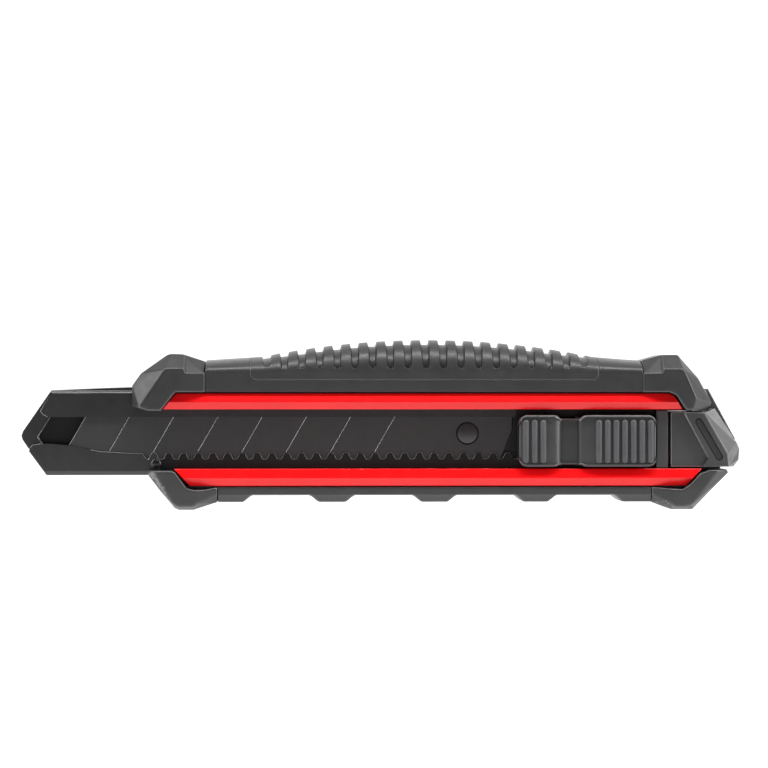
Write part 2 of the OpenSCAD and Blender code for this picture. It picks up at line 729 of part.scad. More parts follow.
cap_panel_y = -8.2;                        // flat panel beside the window
cap_block_y = -9.2;                        // face of the slanted end block
cap_back_y = 8.6;
inlay_y = -9;
inlay_floor_y = -8.6;                      // floor of the inlay's recess
inlay_top = [72.15, 19.75];                // centres of the inlay's round ends
inlay_bottom = [76.75, 11.85];
inlay_r = 0.72;
inlay_gap = 0.12;                          // groove around the inlay
cap_face = [[68.9, 22], [73.4, 21.8], [78.7, 12.6], [79, 9.6], [73.3, 9.6]];
cap_girth = [[71, 22], [74.3, 22], [75.9, 22.8], [81, 15], [81.6, 13.6], [81.4, 11.1], [80.2, 9.6],
    [71, 9.6]];

// Room that the bumpers leave for the cap and for its way out
module cap_space() {
    block([65.8, -8.6, 9.3], [far + 30, cap_back_y, 22.15]);
    side_prism([[73.2, 22.15], [76.3, 23.4], [74.5, 28.3], [95, 28.3], [95, 9.3], [73.2, 9.3]], -far, far);
}

// Slanted bar with round ends along the end block, for the inlay and its recess
module slanted_pill(r, y0, y1) {
    run = inlay_bottom - inlay_top;
    side = [run[1], -run[0]] * r / norm(run);
    side_prism([inlay_top + side, inlay_bottom + side, inlay_bottom - side, inlay_top - side], y0, y1);
    for (end = [inlay_top, inlay_bottom]) y_rod(end[0], end[1], y0, y1, r);
}

// Slanted block at the very end, bevelled on the window side and drafted towards the back
module cap_block() {
    difference() {
        hull() {
            side_prism(cap_face, cap_block_y, 8);
            side_prism(cap_girth, -7.4, 7.4);
            side_prism([[75, 22.8], [76.4, 22.8], [81.9, 15.4], [82, 11.4], [80.6, 9.6], [75, 9.6]],
                6, cap_back_y);
        }
        // room under the upper bumper
        side_prism([[60, 22.02], [74.3, 22.02], [76, 22.9], [76, 40], [60, 40]], -far, far);
        // diagonal step down to the panel
        side_prism([[60, 23], [68.4, 23], [68.9, 21.4], [74.4, 11.7], [73.3, 10.1], [72.8, 9], [60, 9]],
            -far, cap_panel_y);
    }
}

// Tail cap: end block, window-side panel, channel plug and two tongues
module end_cap() {
    color(plastic) difference() {
        union() {
            cap_block();
            // back flange that reaches up behind the bumper's slanted edge
            side_prism([[74.8, 22.8], [76.4, 22.8], [81.9, 15.6], [75.6, 27.2], [75.0, 27.2], [76, 24.4]],
                1, cap_back_y);
            block([65.9, cap_panel_y, 9.6], [74.6, 8.4, 22]);
            // middle rib that closes the gaps to both bumpers
            block([65.9, lip_y + 0.2, 9.12], [77.5, bay_y - 0.1, 10]);
            block([65.9, lip_y + 0.2, 21.5], [74, bay_y - 0.1, 22.11]);
            block([62.2, blade_y0, 9.6], [66, carrier_y1, 22]);
            for (z = [[11.2, 14], [18, 20.7]]) block([50, 3.4, z[0]], [66, 6.6, z[1]]);
        }
        slanted_pill(inlay_r + inlay_gap, -far, inlay_floor_y);
    }
}

module cap_inlay() {
    color(rubber) slanted_pill(inlay_r, inlay_y, inlay_floor_y);
}

front_frame();
rear_frame();
back_cover();
cover_screws();
case_screws();
blade_channel();
nose_support();
nose_rivet();
channel_rivets();
upper_grip();
grip_insert();
lower_grip();
front_upper_bumper();
front_lower_bumper();
rear_upper_bumper();
rear_lower_bumper();
window_stop();
blade_magazine();
spare_blades();
snap_blade();
blade_carrier();
lock_spring();
thumb_slide();
lock_plate();
end_cap();
cap_inlay();
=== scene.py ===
"""Looks of a snap-off utility knife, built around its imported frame.

The knife lies along X with its nose at -X, its ribbed spine at +Z and its blade window at -Y.
Sizes inside the classes are in millimetres; meshes are written in metres.
"""

import logging
import math
from collections.abc import Callable, Iterable, Sequence
from dataclasses import dataclass, replace
from enum import Enum

import bmesh
import bpy
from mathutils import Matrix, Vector


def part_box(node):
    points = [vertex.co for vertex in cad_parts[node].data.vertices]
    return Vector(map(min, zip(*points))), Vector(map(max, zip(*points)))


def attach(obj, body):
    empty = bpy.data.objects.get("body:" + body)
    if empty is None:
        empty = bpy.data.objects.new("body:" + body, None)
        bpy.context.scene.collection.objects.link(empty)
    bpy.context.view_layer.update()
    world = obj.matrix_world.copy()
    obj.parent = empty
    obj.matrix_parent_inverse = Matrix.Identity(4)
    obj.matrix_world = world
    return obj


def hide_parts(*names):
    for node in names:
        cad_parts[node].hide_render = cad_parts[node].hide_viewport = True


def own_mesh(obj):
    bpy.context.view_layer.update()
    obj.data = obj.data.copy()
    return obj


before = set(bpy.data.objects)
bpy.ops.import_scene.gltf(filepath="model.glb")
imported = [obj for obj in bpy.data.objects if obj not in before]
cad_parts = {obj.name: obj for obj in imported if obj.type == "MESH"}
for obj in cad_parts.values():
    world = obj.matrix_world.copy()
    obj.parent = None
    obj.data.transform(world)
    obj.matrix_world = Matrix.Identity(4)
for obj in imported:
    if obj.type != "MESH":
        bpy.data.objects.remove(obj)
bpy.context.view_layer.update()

MM = 0.001
NEAR = 0.01  # millimetres within which two places count as one
POLE = 0.01  # radius in millimetres of the ring that closes the end of a turned shape
WHITE = (1.0, 1.0, 1.0, 1.0)
LOG = logging.getLogger("utility_knife")
Pair = tuple[float, float]
Triple = tuple[float, float, float]
Ring = list[Vector]
Edges = list[bmesh.types.BMEdge]
Piece = bpy.types.Object
Socket = bpy.types.NodeSocket


class Body(Enum):
    """Moving bodies of the frame."""

    HANDLE = "handle"
    CARRIER = "carrier"
    THUMB = "thumb"
    CAP = "cap"


class Slot(Enum):
    """Material slots of the record."""

    RED_PAINT = "red_paint"
    CHANNEL_STEEL = "channel_steel"
    BLADE_STEEL = "blade_steel"
    ZINC_STEEL = "zinc_steel"
    HARD_PLASTIC = "hard_plastic"
    SLIDE_PLASTIC = "slide_plastic"
    GRIP_PLASTIC = "grip_plastic"
    GRIP_RUBBER = "grip_rubber"
    BUMPER_RUBBER = "bumper_rubber"


# ---------- numbers ----------


def blend(a: float, b: float, t: float) -> float:
    """Value a share t of the way from a to b."""
    return a + (b - a) * t


def ease(low: float, high: float, value: float) -> float:
    """Smooth step from 0 at low to 1 at high."""
    t = min(1.0, max(0.0, (value - low) / (high - low)))
    return t * t * (3 - 2 * t)


def evenly(low: float, high: float, steps: int) -> list[float]:
    """Values from low to high in equal steps, both ends included."""
    return [blend(low, high, i / steps) for i in range(steps + 1)]


def inset(low: float, high: float, distances: Sequence[float]) -> list[float]:
    """Values at each distance inside low and inside high."""
    return [low + d for d in distances] + [high - d for d in distances]


def quarter(steps: int) -> list[float]:
    """Angles from 0 to a right angle in equal steps, both ends included."""
    return [math.pi / 2 * i / steps for i in range(steps + 1)]


def along(points: Sequence[Pair], x: float) -> float:
    """Height at x of a polyline of rising x, which stays level past both ends.

    Args:
        points: Corners of the polyline.
        x: Where to read it.

    Returns:
        The height at x.
    """
    if x <= points[0][0]:
        return points[0][1]
    for (x0, z0), (x1, z1) in zip(points, points[1:]):
        if x <= x1:
            return blend(z0, z1, (x - x0) / (x1 - x0))
    return points[-1][1]


def edge_drop(distance: float, radius: float) -> float:
    """How far a rounded edge lies below its face.

    Args:
        distance: Distance from the edge, along the face.
        radius: Radius of the rounding.

    Returns:
        The drop, which is 0 past the rounding.
    """
    if distance >= radius:
        return 0.0
    run = radius - max(distance, 0.0)
    return radius - math.sqrt(radius * radius - run * run)


def soft_drop(distance: float, radius: float) -> float:
    """Drop of a moulded edge, which is flatter than a round one."""
    return 0.6 * edge_drop(distance, radius)


def box_mm(node: str) -> tuple[Vector, Vector]:
    """Lowest and highest corner of a CAD node, in millimetres."""
    low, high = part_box(node)
    return low / MM, high / MM


# ---------- finishes ----------


@dataclass(frozen=True)
class Finish:
    """One surface finish, built as a procedural material.

    Lengths are in millimetres. A stretch above 1 draws the pattern out along that axis.
    """

    name: str
    slot: Slot
    colour: Triple
    roughness: float
    metallic: float = 0.0
    specular: float = 0.5
    mottle: float = 0.12
    mottle_size: float = 6.0
    rough_spread: float = 0.06
    grain_size: float = 0.3
    grain_depth: float = 0.01
    stretch: Triple = (1.0, 1.0, 1.0)
    # edge_highlight and highlight_gain make edges lighter: painted highlight.
    edge_highlight: float = 0.0
    highlight_gain: float = 4.0

    def highlit(self) -> "Finish":
        """The same finish made lighter, for a painted highlight on an edge or face."""
        return replace(self, name=f"{self.name}_edge", edge_highlight=0.0,
                       colour=tuple(min(1.0, c * self.highlight_gain) for c in self.colour))

    def material(self) -> bpy.types.Material:
        """Builds the material, or returns it if it is there already.

        Returns:
            The material.
        """
        if self.name in bpy.data.materials:
            return bpy.data.materials[self.name]
        result = bpy.data.materials.new(self.name)
        result.use_nodes = True
        result.diffuse_color = (*self.colour, 1.0)
        graph = ShaderGraph(result.node_tree)
        shader = graph.shader
        shader.inputs["Metallic"].default_value = self.metallic
        shader.inputs["Specular IOR Level"].default_value = self.specular
        spot = graph.stretched_place(self.stretch)
        cloud = graph.noise(spot, self.mottle_size, detail=4.0)
        tone = graph.spread(cloud, 1 - self.mottle, 1 + self.mottle)
        # Lighter along raised edges: painted highlight.
        if self.edge_highlight:
            tone = graph.combine("MULTIPLY", tone, graph.edges(self.edge_highlight))
        graph.tint(self.colour, tone)
        rough = graph.noise(spot, self.mottle_size * 0.35, detail=5.0)
        graph.link(graph.spread(rough, self.roughness - self.rough_spread,
                                self.roughness + self.rough_spread), shader.inputs["Roughness"])
        graph.grain(spot, self.grain_size, self.grain_depth)
        return result


class ShaderGraph:
    """Node tree of a finish or of the surroundings."""

    def __init__(self, tree: bpy.types.NodeTree, shader: str = "Principled BSDF") -> None:
        """Keeps the tree and finds its shader."""
        self.tree = tree
        self.shader = tree.nodes[shader]

    def add(self, kind: str) -> bpy.types.Node:
        """Adds one node."""
        return self.tree.nodes.new(kind)

    def link(self, out: Socket, into: Socket) -> None:
        """Links two sockets."""
        self.tree.links.new(out, into)

    def stretched_place(self, stretch: Triple) -> Socket:
        """Object coordinates, drawn out along the axes.

        Args:
            stretch: How far the pattern is drawn out along each axis.

        Returns:
            The coordinates.
        """
        mapping = self.add("ShaderNodeMapping")
        mapping.inputs["Scale"].default_value = [1 / s for s in stretch]
        self.link(self.add("ShaderNodeTexCoord").outputs["Object"], mapping.inputs["Vector"])
        return mapping.outputs["Vector"]

    def noise(self, spot: Socket, size: float, detail: float) -> Socket:
        """Noise whose blotches are about a size in millimetres.

        Args:
            spot: Coordinates.
            size: Size of a blotch.
            detail: Levels of detail.

        Returns:
            Value about 0.5.
        """
        node = self.add("ShaderNodeTexNoise")
        node.inputs["Scale"].default_value = 1 / (size * MM)
        node.inputs["Detail"].default_value = detail
        self.link(spot, node.inputs["Vector"])
        return node.outputs["Fac"]

    def spread(self, value: Socket, low: float, high: float, start: float = 0.3,
               end: float = 0.7) -> Socket:
        """Maps the range start to end onto low to high.

        Args:
            value: Value to map.
            low: Result at start.
            high: Result at end.
            start: Value that gives low.
            end: Value that gives high.

        Returns:
            The mapped value.
        """
        node = self.add("ShaderNodeMapRange")
        for name, number in zip(("From Min", "From Max", "To Min", "To Max"), (start, end, low, high)):
            node.inputs[name].default_value = number
        self.link(value, node.inputs["Value"])
        return node.outputs["Result"]

    def combine(self, operation: str, a: Socket, b: Socket) -> Socket:
        """Result of one operation on two values.

        Args:
            operation: Name of a Math node's operation.
            a: First value.
            b: Second value.

        Returns:
            The result.
        """
        node = self.add("ShaderNodeMath")
        node.operation = operation
        self.link(a, node.inputs[0])
        self.link(b, node.inputs[1])
        return node.outputs["Value"]

    def depth(self, kind: str) -> Socket:
        """Place along Y in one kind of coordinates.

        Args:
            kind: Output of the Texture Coordinate node.

        Returns:
            The Y coordinate.
        """
        split = self.add("ShaderNodeSeparateXYZ")
        self.link(self.add("ShaderNodeTexCoord").outputs[kind], split.inputs["Vector"])
        return split.outputs["Y"]

    def in_view(self) -> Socket:
        """Value of 1 where the camera looks straight at the surface."""
        return self.add("ShaderNodeLightPath").outputs["Is Camera Ray"]

    def edges(self, strength: float) -> Socket:
        """Value above 1 along raised edges, a painted highlight."""
        geometry = self.add("ShaderNodeNewGeometry")
        return self.spread(geometry.outputs["Pointiness"], 1.0, 1.0 + strength, 0.515, 0.555)

    def tint(self, colour: Triple, tone: Socket) -> None:
        """Base colour: one colour times a tone.

        Args:
            colour: The colour.
            tone: Value that it is multiplied by.
        """
        scale = self.add("ShaderNodeVectorMath")
        scale.operation = "SCALE"
        scale.inputs[0].default_value = colour
        self.link(tone, scale.inputs["Scale"])
        self.link(scale.outputs["Vector"], self.shader.inputs["Base Color"])

    def grain(self, spot: Socket, size: float, depth: float) -> None:
        """Fine moulded or sprayed grain of a size and depth in millimetres.

        Args:
            spot: Coordinates.
            size: Size of a grain.
            depth: Depth of a grain.
        """
        bump = self.add("ShaderNodeBump")
        bump.inputs["Strength"].default_value = 1.0
        bump.inputs["Distance"].default_value = depth * MM
        self.link(self.noise(spot, size, detail=3.0), bump.inputs["Height"])
        self.link(bump.outputs["Normal"], self.shader.inputs["Normal"])


def black(level: float) -> Triple:
    """A black or dark grey that leans slightly to blue."""
    return level, level, level + 0.001


RED_PAINT = Finish("red_enamel", Slot.RED_PAINT, (0.84, 0.002, 0.004), 0.25, mottle=0.05,
                   mottle_size=9, rough_spread=0.02, grain_size=2.4, grain_depth=0.01)
CORE_COAT = Finish("black_core_coat", Slot.RED_PAINT, (0.012, 0.012, 0.012), 0.55, mottle=0.15,
                   mottle_size=5, grain_size=0.3, grain_depth=0.01)
# Its lighter copy, nine times as bright, paints highlights on the sleeve's edges.
CHANNEL_STEEL = Finish("black_sleeve_steel", Slot.CHANNEL_STEEL, black(0.020), 0.23,
                       specular=0.6, mottle=0.12, mottle_size=4, rough_spread=0.02, grain_size=1.2,
                       grain_depth=0.006, highlight_gain=9.0)
# Near-black, less shiny sleeve steel: painted shade on the rack, behind the slide and on the back wall.
PAINTED_SHADE_STEEL = Finish("painted_shade_sleeve_steel", Slot.CHANNEL_STEEL, (0.006, 0.006, 0.006), 0.45, specular=0.25,
                     mottle=0.15, mottle_size=3, grain_size=0.6, grain_depth=0.002)
RIVET_STEEL = Finish("black_rivet_steel", Slot.CHANNEL_STEEL, black(0.012), 0.28, mottle=0.1,
                     mottle_size=2, grain_size=0.2, grain_depth=0.004)
BLADE_STEEL = Finish("black_blade_steel", Slot.BLADE_STEEL, black(0.028), 0.32, specular=0.6,
                     mottle=0.05, mottle_size=3, rough_spread=0.03, grain_size=0.12, grain_depth=0.001,
                     stretch=(0.4, 1, 5))
BARE_STEEL = Finish("bright_score_steel", Slot.BLADE_STEEL, (0.62, 0.62, 0.63), 0.32, metallic=1.0,
                    mottle=0.1, mottle_size=1.5, grain_size=0.1, grain_depth=0.002, stretch=(1, 1, 4))
ZINC = Finish("zinc_plate", Slot.ZINC_STEEL, (0.50, 0.50, 0.52), 0.36, metallic=1.0, mottle=0.14,
              mottle_size=1.6, grain_size=0.2, grain_depth=0.004)
HARD_PLASTIC = Finish("cap_plastic", Slot.HARD_PLASTIC, black(0.048), 0.34, mottle=0.08,
                      mottle_size=5, rough_spread=0.04, grain_size=0.22, grain_depth=0.003)
# Black carrier plastic, made darker and less shiny than the cap plastic: painted shade in the window behind
# the blade.
SHADED_CARRIER_PLASTIC = Finish("carrier_plastic", Slot.HARD_PLASTIC, (0.008, 0.008, 0.008), 0.42, specular=0.3,
                         mottle=0.1, mottle_size=3, grain_size=0.3, grain_depth=0.003)
SLIDE_PLASTIC = Finish("slide_plastic_satin", Slot.SLIDE_PLASTIC, black(0.042), 0.30, mottle=0.08,
                       mottle_size=4, rough_spread=0.03, grain_size=0.2, grain_depth=0.002, highlight_gain=2.4)
# Darker, less shiny copy of the slide plastic for the ridges: painted shade.
SHADED_RIDGE_PLASTIC = Finish("ridge_plastic_satin", Slot.SLIDE_PLASTIC, black(0.022), 0.40,
                       specular=0.14, mottle=0.08, mottle_size=4, grain_size=0.3, grain_depth=0.003)
GRIP_PLASTIC = Finish("grip_shell", Slot.GRIP_PLASTIC, black(0.032), 0.35, mottle=0.1,
                      mottle_size=5, rough_spread=0.05, grain_size=0.26, grain_depth=0.005)
GRIP_RUBBER = Finish("insert_rubber", Slot.GRIP_RUBBER, black(0.034), 0.38, mottle=0.12,
                     mottle_size=4, rough_spread=0.05, grain_size=0.3, grain_depth=0.006)
INLAY_RUBBER = Finish("inlay_rubber", Slot.BUMPER_RUBBER, black(0.030), 0.42, specular=0.3,
                      mottle=0.1, mottle_size=3, grain_size=0.3, grain_depth=0.004)
# Rubber whose raised edges are painted lighter: painted highlight.
BUMPER_RUBBER = Finish("bumper_rubber_matt", Slot.BUMPER_RUBBER, black(0.033), 0.34,
                       mottle=0.12, mottle_size=5, rough_spread=0.05, grain_size=0.3, grain_depth=0.005,
                       edge_highlight=3.0)


# ---------- meshes ----------


def add_object(name: str, data: bpy.types.ID) -> Piece:
    """Links a new object at the origin, from a mesh, a camera or a light.

    Args:
        name: Name of the object.
        data: What it shows.

    Returns:
        The object.
    """
    result = bpy.data.objects.new(name, data)
    bpy.context.scene.collection.objects.link(result)
    return result


def shade(piece: Piece, sharp_degrees: float = 38.0) -> Piece:
    """Smooth shading with sharp edges above an angle.

    Args:
        piece: The piece.
        sharp_degrees: Least angle of a sharp edge.

    Returns:
        The piece.
    """
    piece.data.shade_smooth()
    piece.data.set_sharp_from_angle(angle=math.radians(sharp_degrees))
    return piece


def mesh_piece(name: str, points: Iterable[Vector], faces: Iterable[Sequence[int]]) -> Piece:
    """Closed solid from points in millimetres, with its faces turned outwards.

    Args:
        name: Name of the new object.
        points: Corners, in millimetres.
        faces: Corner numbers of each face.

    Returns:
        The new object.
    """
    mesh = bpy.data.meshes.new(name)
    mesh.from_pydata([p * MM for p in points], [], [tuple(f) for f in faces])
    solid = bmesh.new()
    solid.from_mesh(mesh)
    bmesh.ops.remove_doubles(solid, verts=solid.verts, dist=1e-7)
    bmesh.ops.recalc_face_normals(solid, faces=solid.faces)
    solid.to_mesh(mesh)
    solid.free()
    return shade(add_object(name, mesh))


def loft(name: str, rings: Sequence[Ring]) -> Piece:
    """Closed solid through a row of rings with equal numbers of points.

    Args:
        name: Name of the new object.
        rings: Closed outlines, one after another, in millimetres.

    Returns:
        The new object, with a flat face on its first and last ring.
    """
    size = len(rings[0])
    faces = [list(range(size)), [(len(rings) - 1) * size + i for i in range(size)]]
    for row in range(len(rings) - 1):
        for i in range(size):
            j = (i + 1) % size
            faces.append([row * size + i, row * size + j, (row + 1) * size + j, (row + 1) * size + i])
    return mesh_piece(name, [p for ring in rings for p in ring], faces)


def circle(sides: int) -> list[float]:
    """Angles round a circle."""
    return [math.tau * i / sides for i in range(sides)]


def turned(name: str, profile: Sequence[Pair], centre: Vector,
           sides: int = 48) -> Piece:
    """Solid turned about a line along Y.

    Args:
        name: Name of the new object.
        profile: Radius and y of each corner, from one end of the axis to the other.
        centre: Point of the axis that y is measured from, in millimetres.
        sides: Number of sides.

    Returns:
        The new object.
    """
    return loft(name, [[centre + Vector((radius * math.cos(a), y, radius * math.sin(a)))
                        for a in circle(sides)] for radius, y in profile])


def wrap(x: float, outer: Ring, core: Pair, foot: float) -> Ring:
    """Closed ring of a grip that wraps the metal core.

    Args:
        x: Place of the core's corners along the knife.
        outer: Points of the front half, from its open edge to the middle.
        core: Half thickness of the core and height of its face under the grip.
        foot: Height of the grip's open edge on the core.

    Returns:
        The ring, front first.
    """
    back = [Vector((p.x, -p.y, p.z)) for p in reversed(outer[:-1])]
    half, face = core
    corners = ((half, foot), (half, face), (-half, face), (-half, foot))
    return [*outer, *back, *(Vector((x, y, z)) for y, z in corners)]


class FrameCopy:
    """Editable copy of a CAD node, merged and with its flat faces whole."""

    def __init__(self, node: str, name: str) -> None:
        """Copies the node.

        Args:
            node: CAD node.
            name: Name of the new piece.
        """
        self.name = name
        self.solid = bmesh.new()
        self.solid.from_mesh(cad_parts[node].data)
        bmesh.ops.remove_doubles(self.solid, verts=self.solid.verts, dist=2e-6)
        bmesh.ops.dissolve_limit(self.solid, angle_limit=math.radians(0.4), verts=self.solid.verts,
                                 edges=self.solid.edges)
        for face in self.solid.faces:
            face.smooth = False

    def cut(self, x: float) -> None:
        """Splits the faces along a plane across the knife at x."""
        geometry = [*self.solid.verts, *self.solid.edges, *self.solid.faces]
        bmesh.ops.bisect_plane(self.solid, geom=geometry, plane_co=(x * MM, 0, 0), plane_no=(1, 0, 0))

    def mark(self, keep: Callable[[Vector], bool]) -> None:
        """Gives the faces whose middle passes a test the piece's third material.

        Args:
            keep: Test on a face's middle, in millimetres.
        """
        for face in self.solid.faces:
            if keep(face.calc_center_median() / MM):
                face.material_index = 2

    def paint_highlight(self, keep: Callable[[Vector, Vector], bool]) -> None:
        """Gives the faces whose middle and normal pass a test the lighter material, a painted highlight.

        Args:
            keep: Test on a face's middle, in millimetres, and its normal.
        """
        for face in self.solid.faces:
            face.normal_update()
            if keep(face.calc_center_median() / MM, face.normal):
                face.material_index = 1

    def edges(self, keep: Callable[[Vector, Vector], bool], angle: float = 25.0,
              shortest: float = 0.0) -> Edges:
        """Sharp edges of the copy.

        Args:
            keep: Test on an edge's two ends, in millimetres.
            angle: Least angle between the faces at the edge, in degrees.
            shortest: Least length, in millimetres.

        Returns:
            The edges that pass.
        """
        found = []
        for edge in self.solid.edges:
            if len(edge.link_faces) != 2 or edge.calc_length() < shortest * MM:
                continue
            if edge.calc_face_angle(0.0) < math.radians(angle):
                continue
            a, b = (corner.co / MM for corner in edge.verts)
            if keep(a, b):
                found.append(edge)
        return found

    def round_edges(self, edges: Edges, width: float, segments: int = 3, highlit: bool = False) -> None:
        """Rounds edges.

        Args:
            edges: The edges.
            width: Width of the rounding, in millimetres.
            segments: Faces across it.
            highlit: Whether the rounding gets the lighter copy of the finish, a painted highlight.
        """
        made = bmesh.ops.bevel(self.solid, geom=edges, offset=width * MM, segments=segments, profile=0.5,
                               affect="EDGES", clamp_overlap=False, offset_type="OFFSET")
        for face in made["faces"]:
            face.smooth = True
            # Painted highlight: the rounding takes the lighter copy of the finish.
            if highlit:
                face.material_index = 1

    def finish(self) -> Piece:
        """Turns the copy into an object, with flat faces flat and rounded edges smooth.

        Returns:
            The object.
        """
        mesh = bpy.data.meshes.new(self.name)
        bmesh.ops.recalc_face_normals(self.solid, faces=self.solid.faces)
        self.solid.to_mesh(mesh)
        self.solid.free()
        return add_object(self.name, mesh)


def moulded_copy(node: str, name: str, cell: float, passes: int) -> Piece:
    """Copy of a CAD node with every edge softly rounded, as rubber comes from a mould.

    Args:
        node: CAD node.
        name: Name of the new piece.
        cell: Size of the new mesh's faces, in millimetres.
        passes: Smoothing passes; more of them round the edges more.

    Returns:
        The new object.
    """
    piece = FrameCopy(node, name).finish()
    remesh = piece.modifiers.new("even_mesh", "REMESH")
    remesh.mode = "VOXEL"
    remesh.voxel_size = cell * MM
    soften = piece.modifiers.new("soften", "SMOOTH")
    soften.factor = 0.5
    soften.iterations = passes
    plain = bpy.data.meshes.new_from_object(piece.evaluated_get(bpy.context.evaluated_depsgraph_get()))
    piece.modifiers.clear()
    piece.data = plain
    plain.shade_smooth()
    return piece


class Row:
    """Row of equal pieces made by Geometry Nodes, with a small random turn about Y."""

    INPUTS = (("Shape", "NodeSocketObject"), ("Count", "NodeSocketInt"), ("Start", "NodeSocketVector"),
              ("Step", "NodeSocketVector"), ("Turn", "NodeSocketFloat"), ("Seed", "NodeSocketInt"),
              ("Material", "NodeSocketMaterial"))

    def __init__(self) -> None:
        """Builds the node tree."""
        self.tree = bpy.data.node_groups.new("row_of_pieces", "GeometryNodeTree")
        face = self.tree.interface
        face.new_socket("Geometry", in_out="OUTPUT", socket_type="NodeSocketGeometry")
        face.new_socket("Geometry", in_out="INPUT", socket_type="NodeSocketGeometry")
        self.keys = {name: face.new_socket(name, in_out="INPUT", socket_type=kind).identifier
                     for name, kind in self.INPUTS}
        add, link = self.tree.nodes.new, self.tree.links.new
        given = add("NodeGroupInput").outputs
        line = add("GeometryNodeMeshLine")
        link(given["Count"], line.inputs["Count"])
        link(given["Start"], line.inputs["Start Location"])
        link(given["Step"], line.inputs["Offset"])
        shape = add("GeometryNodeObjectInfo")
        link(given["Shape"], shape.inputs["Object"])
        copies = add("GeometryNodeInstanceOnPoints")
        link(line.outputs["Mesh"], copies.inputs["Points"])
        link(shape.outputs["Geometry"], copies.inputs["Instance"])
        chance = add("FunctionNodeRandomValue")
        chance.data_type = "FLOAT"
        link(given["Turn"], chance.inputs[3])
        link(given["Seed"], chance.inputs["Seed"])
        turn = add("ShaderNodeCombineXYZ")
        link(chance.outputs[1], turn.inputs["Y"])
        link(turn.outputs["Vector"], copies.inputs["Rotation"])
        real = add("GeometryNodeRealizeInstances")
        link(copies.outputs["Instances"], real.inputs["Geometry"])
        dress = add("GeometryNodeSetMaterial")
        link(real.outputs["Geometry"], dress.inputs["Geometry"])
        link(given["Material"], dress.inputs["Material"])
        link(dress.outputs["Geometry"], add("NodeGroupOutput").inputs["Geometry"])

    def build(self, name: str, shape: Piece, count: int, start: Vector, step: Vector,
              finish: Finish, turn: float = 0.0, seed: int = 7) -> Piece:
        """Repeats a shape and returns the row as one plain mesh.

        Args:
            name: Name of the new piece.
            shape: Shape about the origin; it is removed afterwards.
            count: Number of copies.
            start: Place of the first copy, in millimetres.
            step: Way from one copy to the next, in millimetres.
            finish: Finish of the row.
            turn: Largest random turn about Y, in radians.
            seed: Seed of the turns.

        Returns:
            The new object.
        """
        host = add_object(name, bpy.data.meshes.new(name))
        modifier = host.modifiers.new("row", "NODES")
        modifier.node_group = self.tree
        values = {"Shape": shape, "Count": count, "Start": start * MM, "Step": step * MM, "Turn": turn,
                  "Seed": seed, "Material": finish.material()}
        for key, value in values.items():
            modifier[self.keys[key]] = value
        graph = bpy.context.evaluated_depsgraph_get()
        host.data = bpy.data.meshes.new_from_object(host.evaluated_get(graph))
        host.modifiers.clear()
        bpy.data.objects.remove(shape)
        return shade(host)


def place(piece: Piece, body: Body, finish: Finish, *nodes: str) -> Piece:
    """Dresses a piece and ties it to the frame.

    Args:
        piece: The piece, in place.
        body: Body that it moves with.
        finish: Its finish.
        nodes: CAD nodes that it stands for.

    Returns:
        The piece.
    """
    kinds = [face.material_index for face in piece.data.polygons]
    piece.data.materials.clear()
    piece.data.materials.append(finish.material())
    # Faces marked 1 take the finish's lighter copy, a painted highlight.
    if any(kinds):
        piece.data.materials.append(finish.highlit().material())
        piece.data.polygons.foreach_set("material_index", kinds)
    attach(piece, body.value)
    if nodes:
        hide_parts(*nodes)
    LOG.info("%s on %s: %d faces", piece.name, body.value, len(piece.data.polygons))
    return piece


def dress_node(node: str, finish: Finish) -> None:
    """Gives a CAD node that stays in view its finish.

    Args:
        node: CAD node.
        finish: Its finish.
    """
    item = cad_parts[node]
    for holder in item.material_slots:
        holder.material = finish.material()
    LOG.info("%s keeps its CAD shape in %s", node, finish.name)


# ---------- sub-assemblies ----------


@dataclass(frozen=True)
class ScrewRow:
    """Equal screws in a row along X. Lengths are in millimetres."""

    name: str
    node: str
    first_x: float
    step: float
    count: int
    z: float
    head_r: float
    shank_r: float
    seed: int
    sunk: float = 0.0
    stands_for_node: bool = True


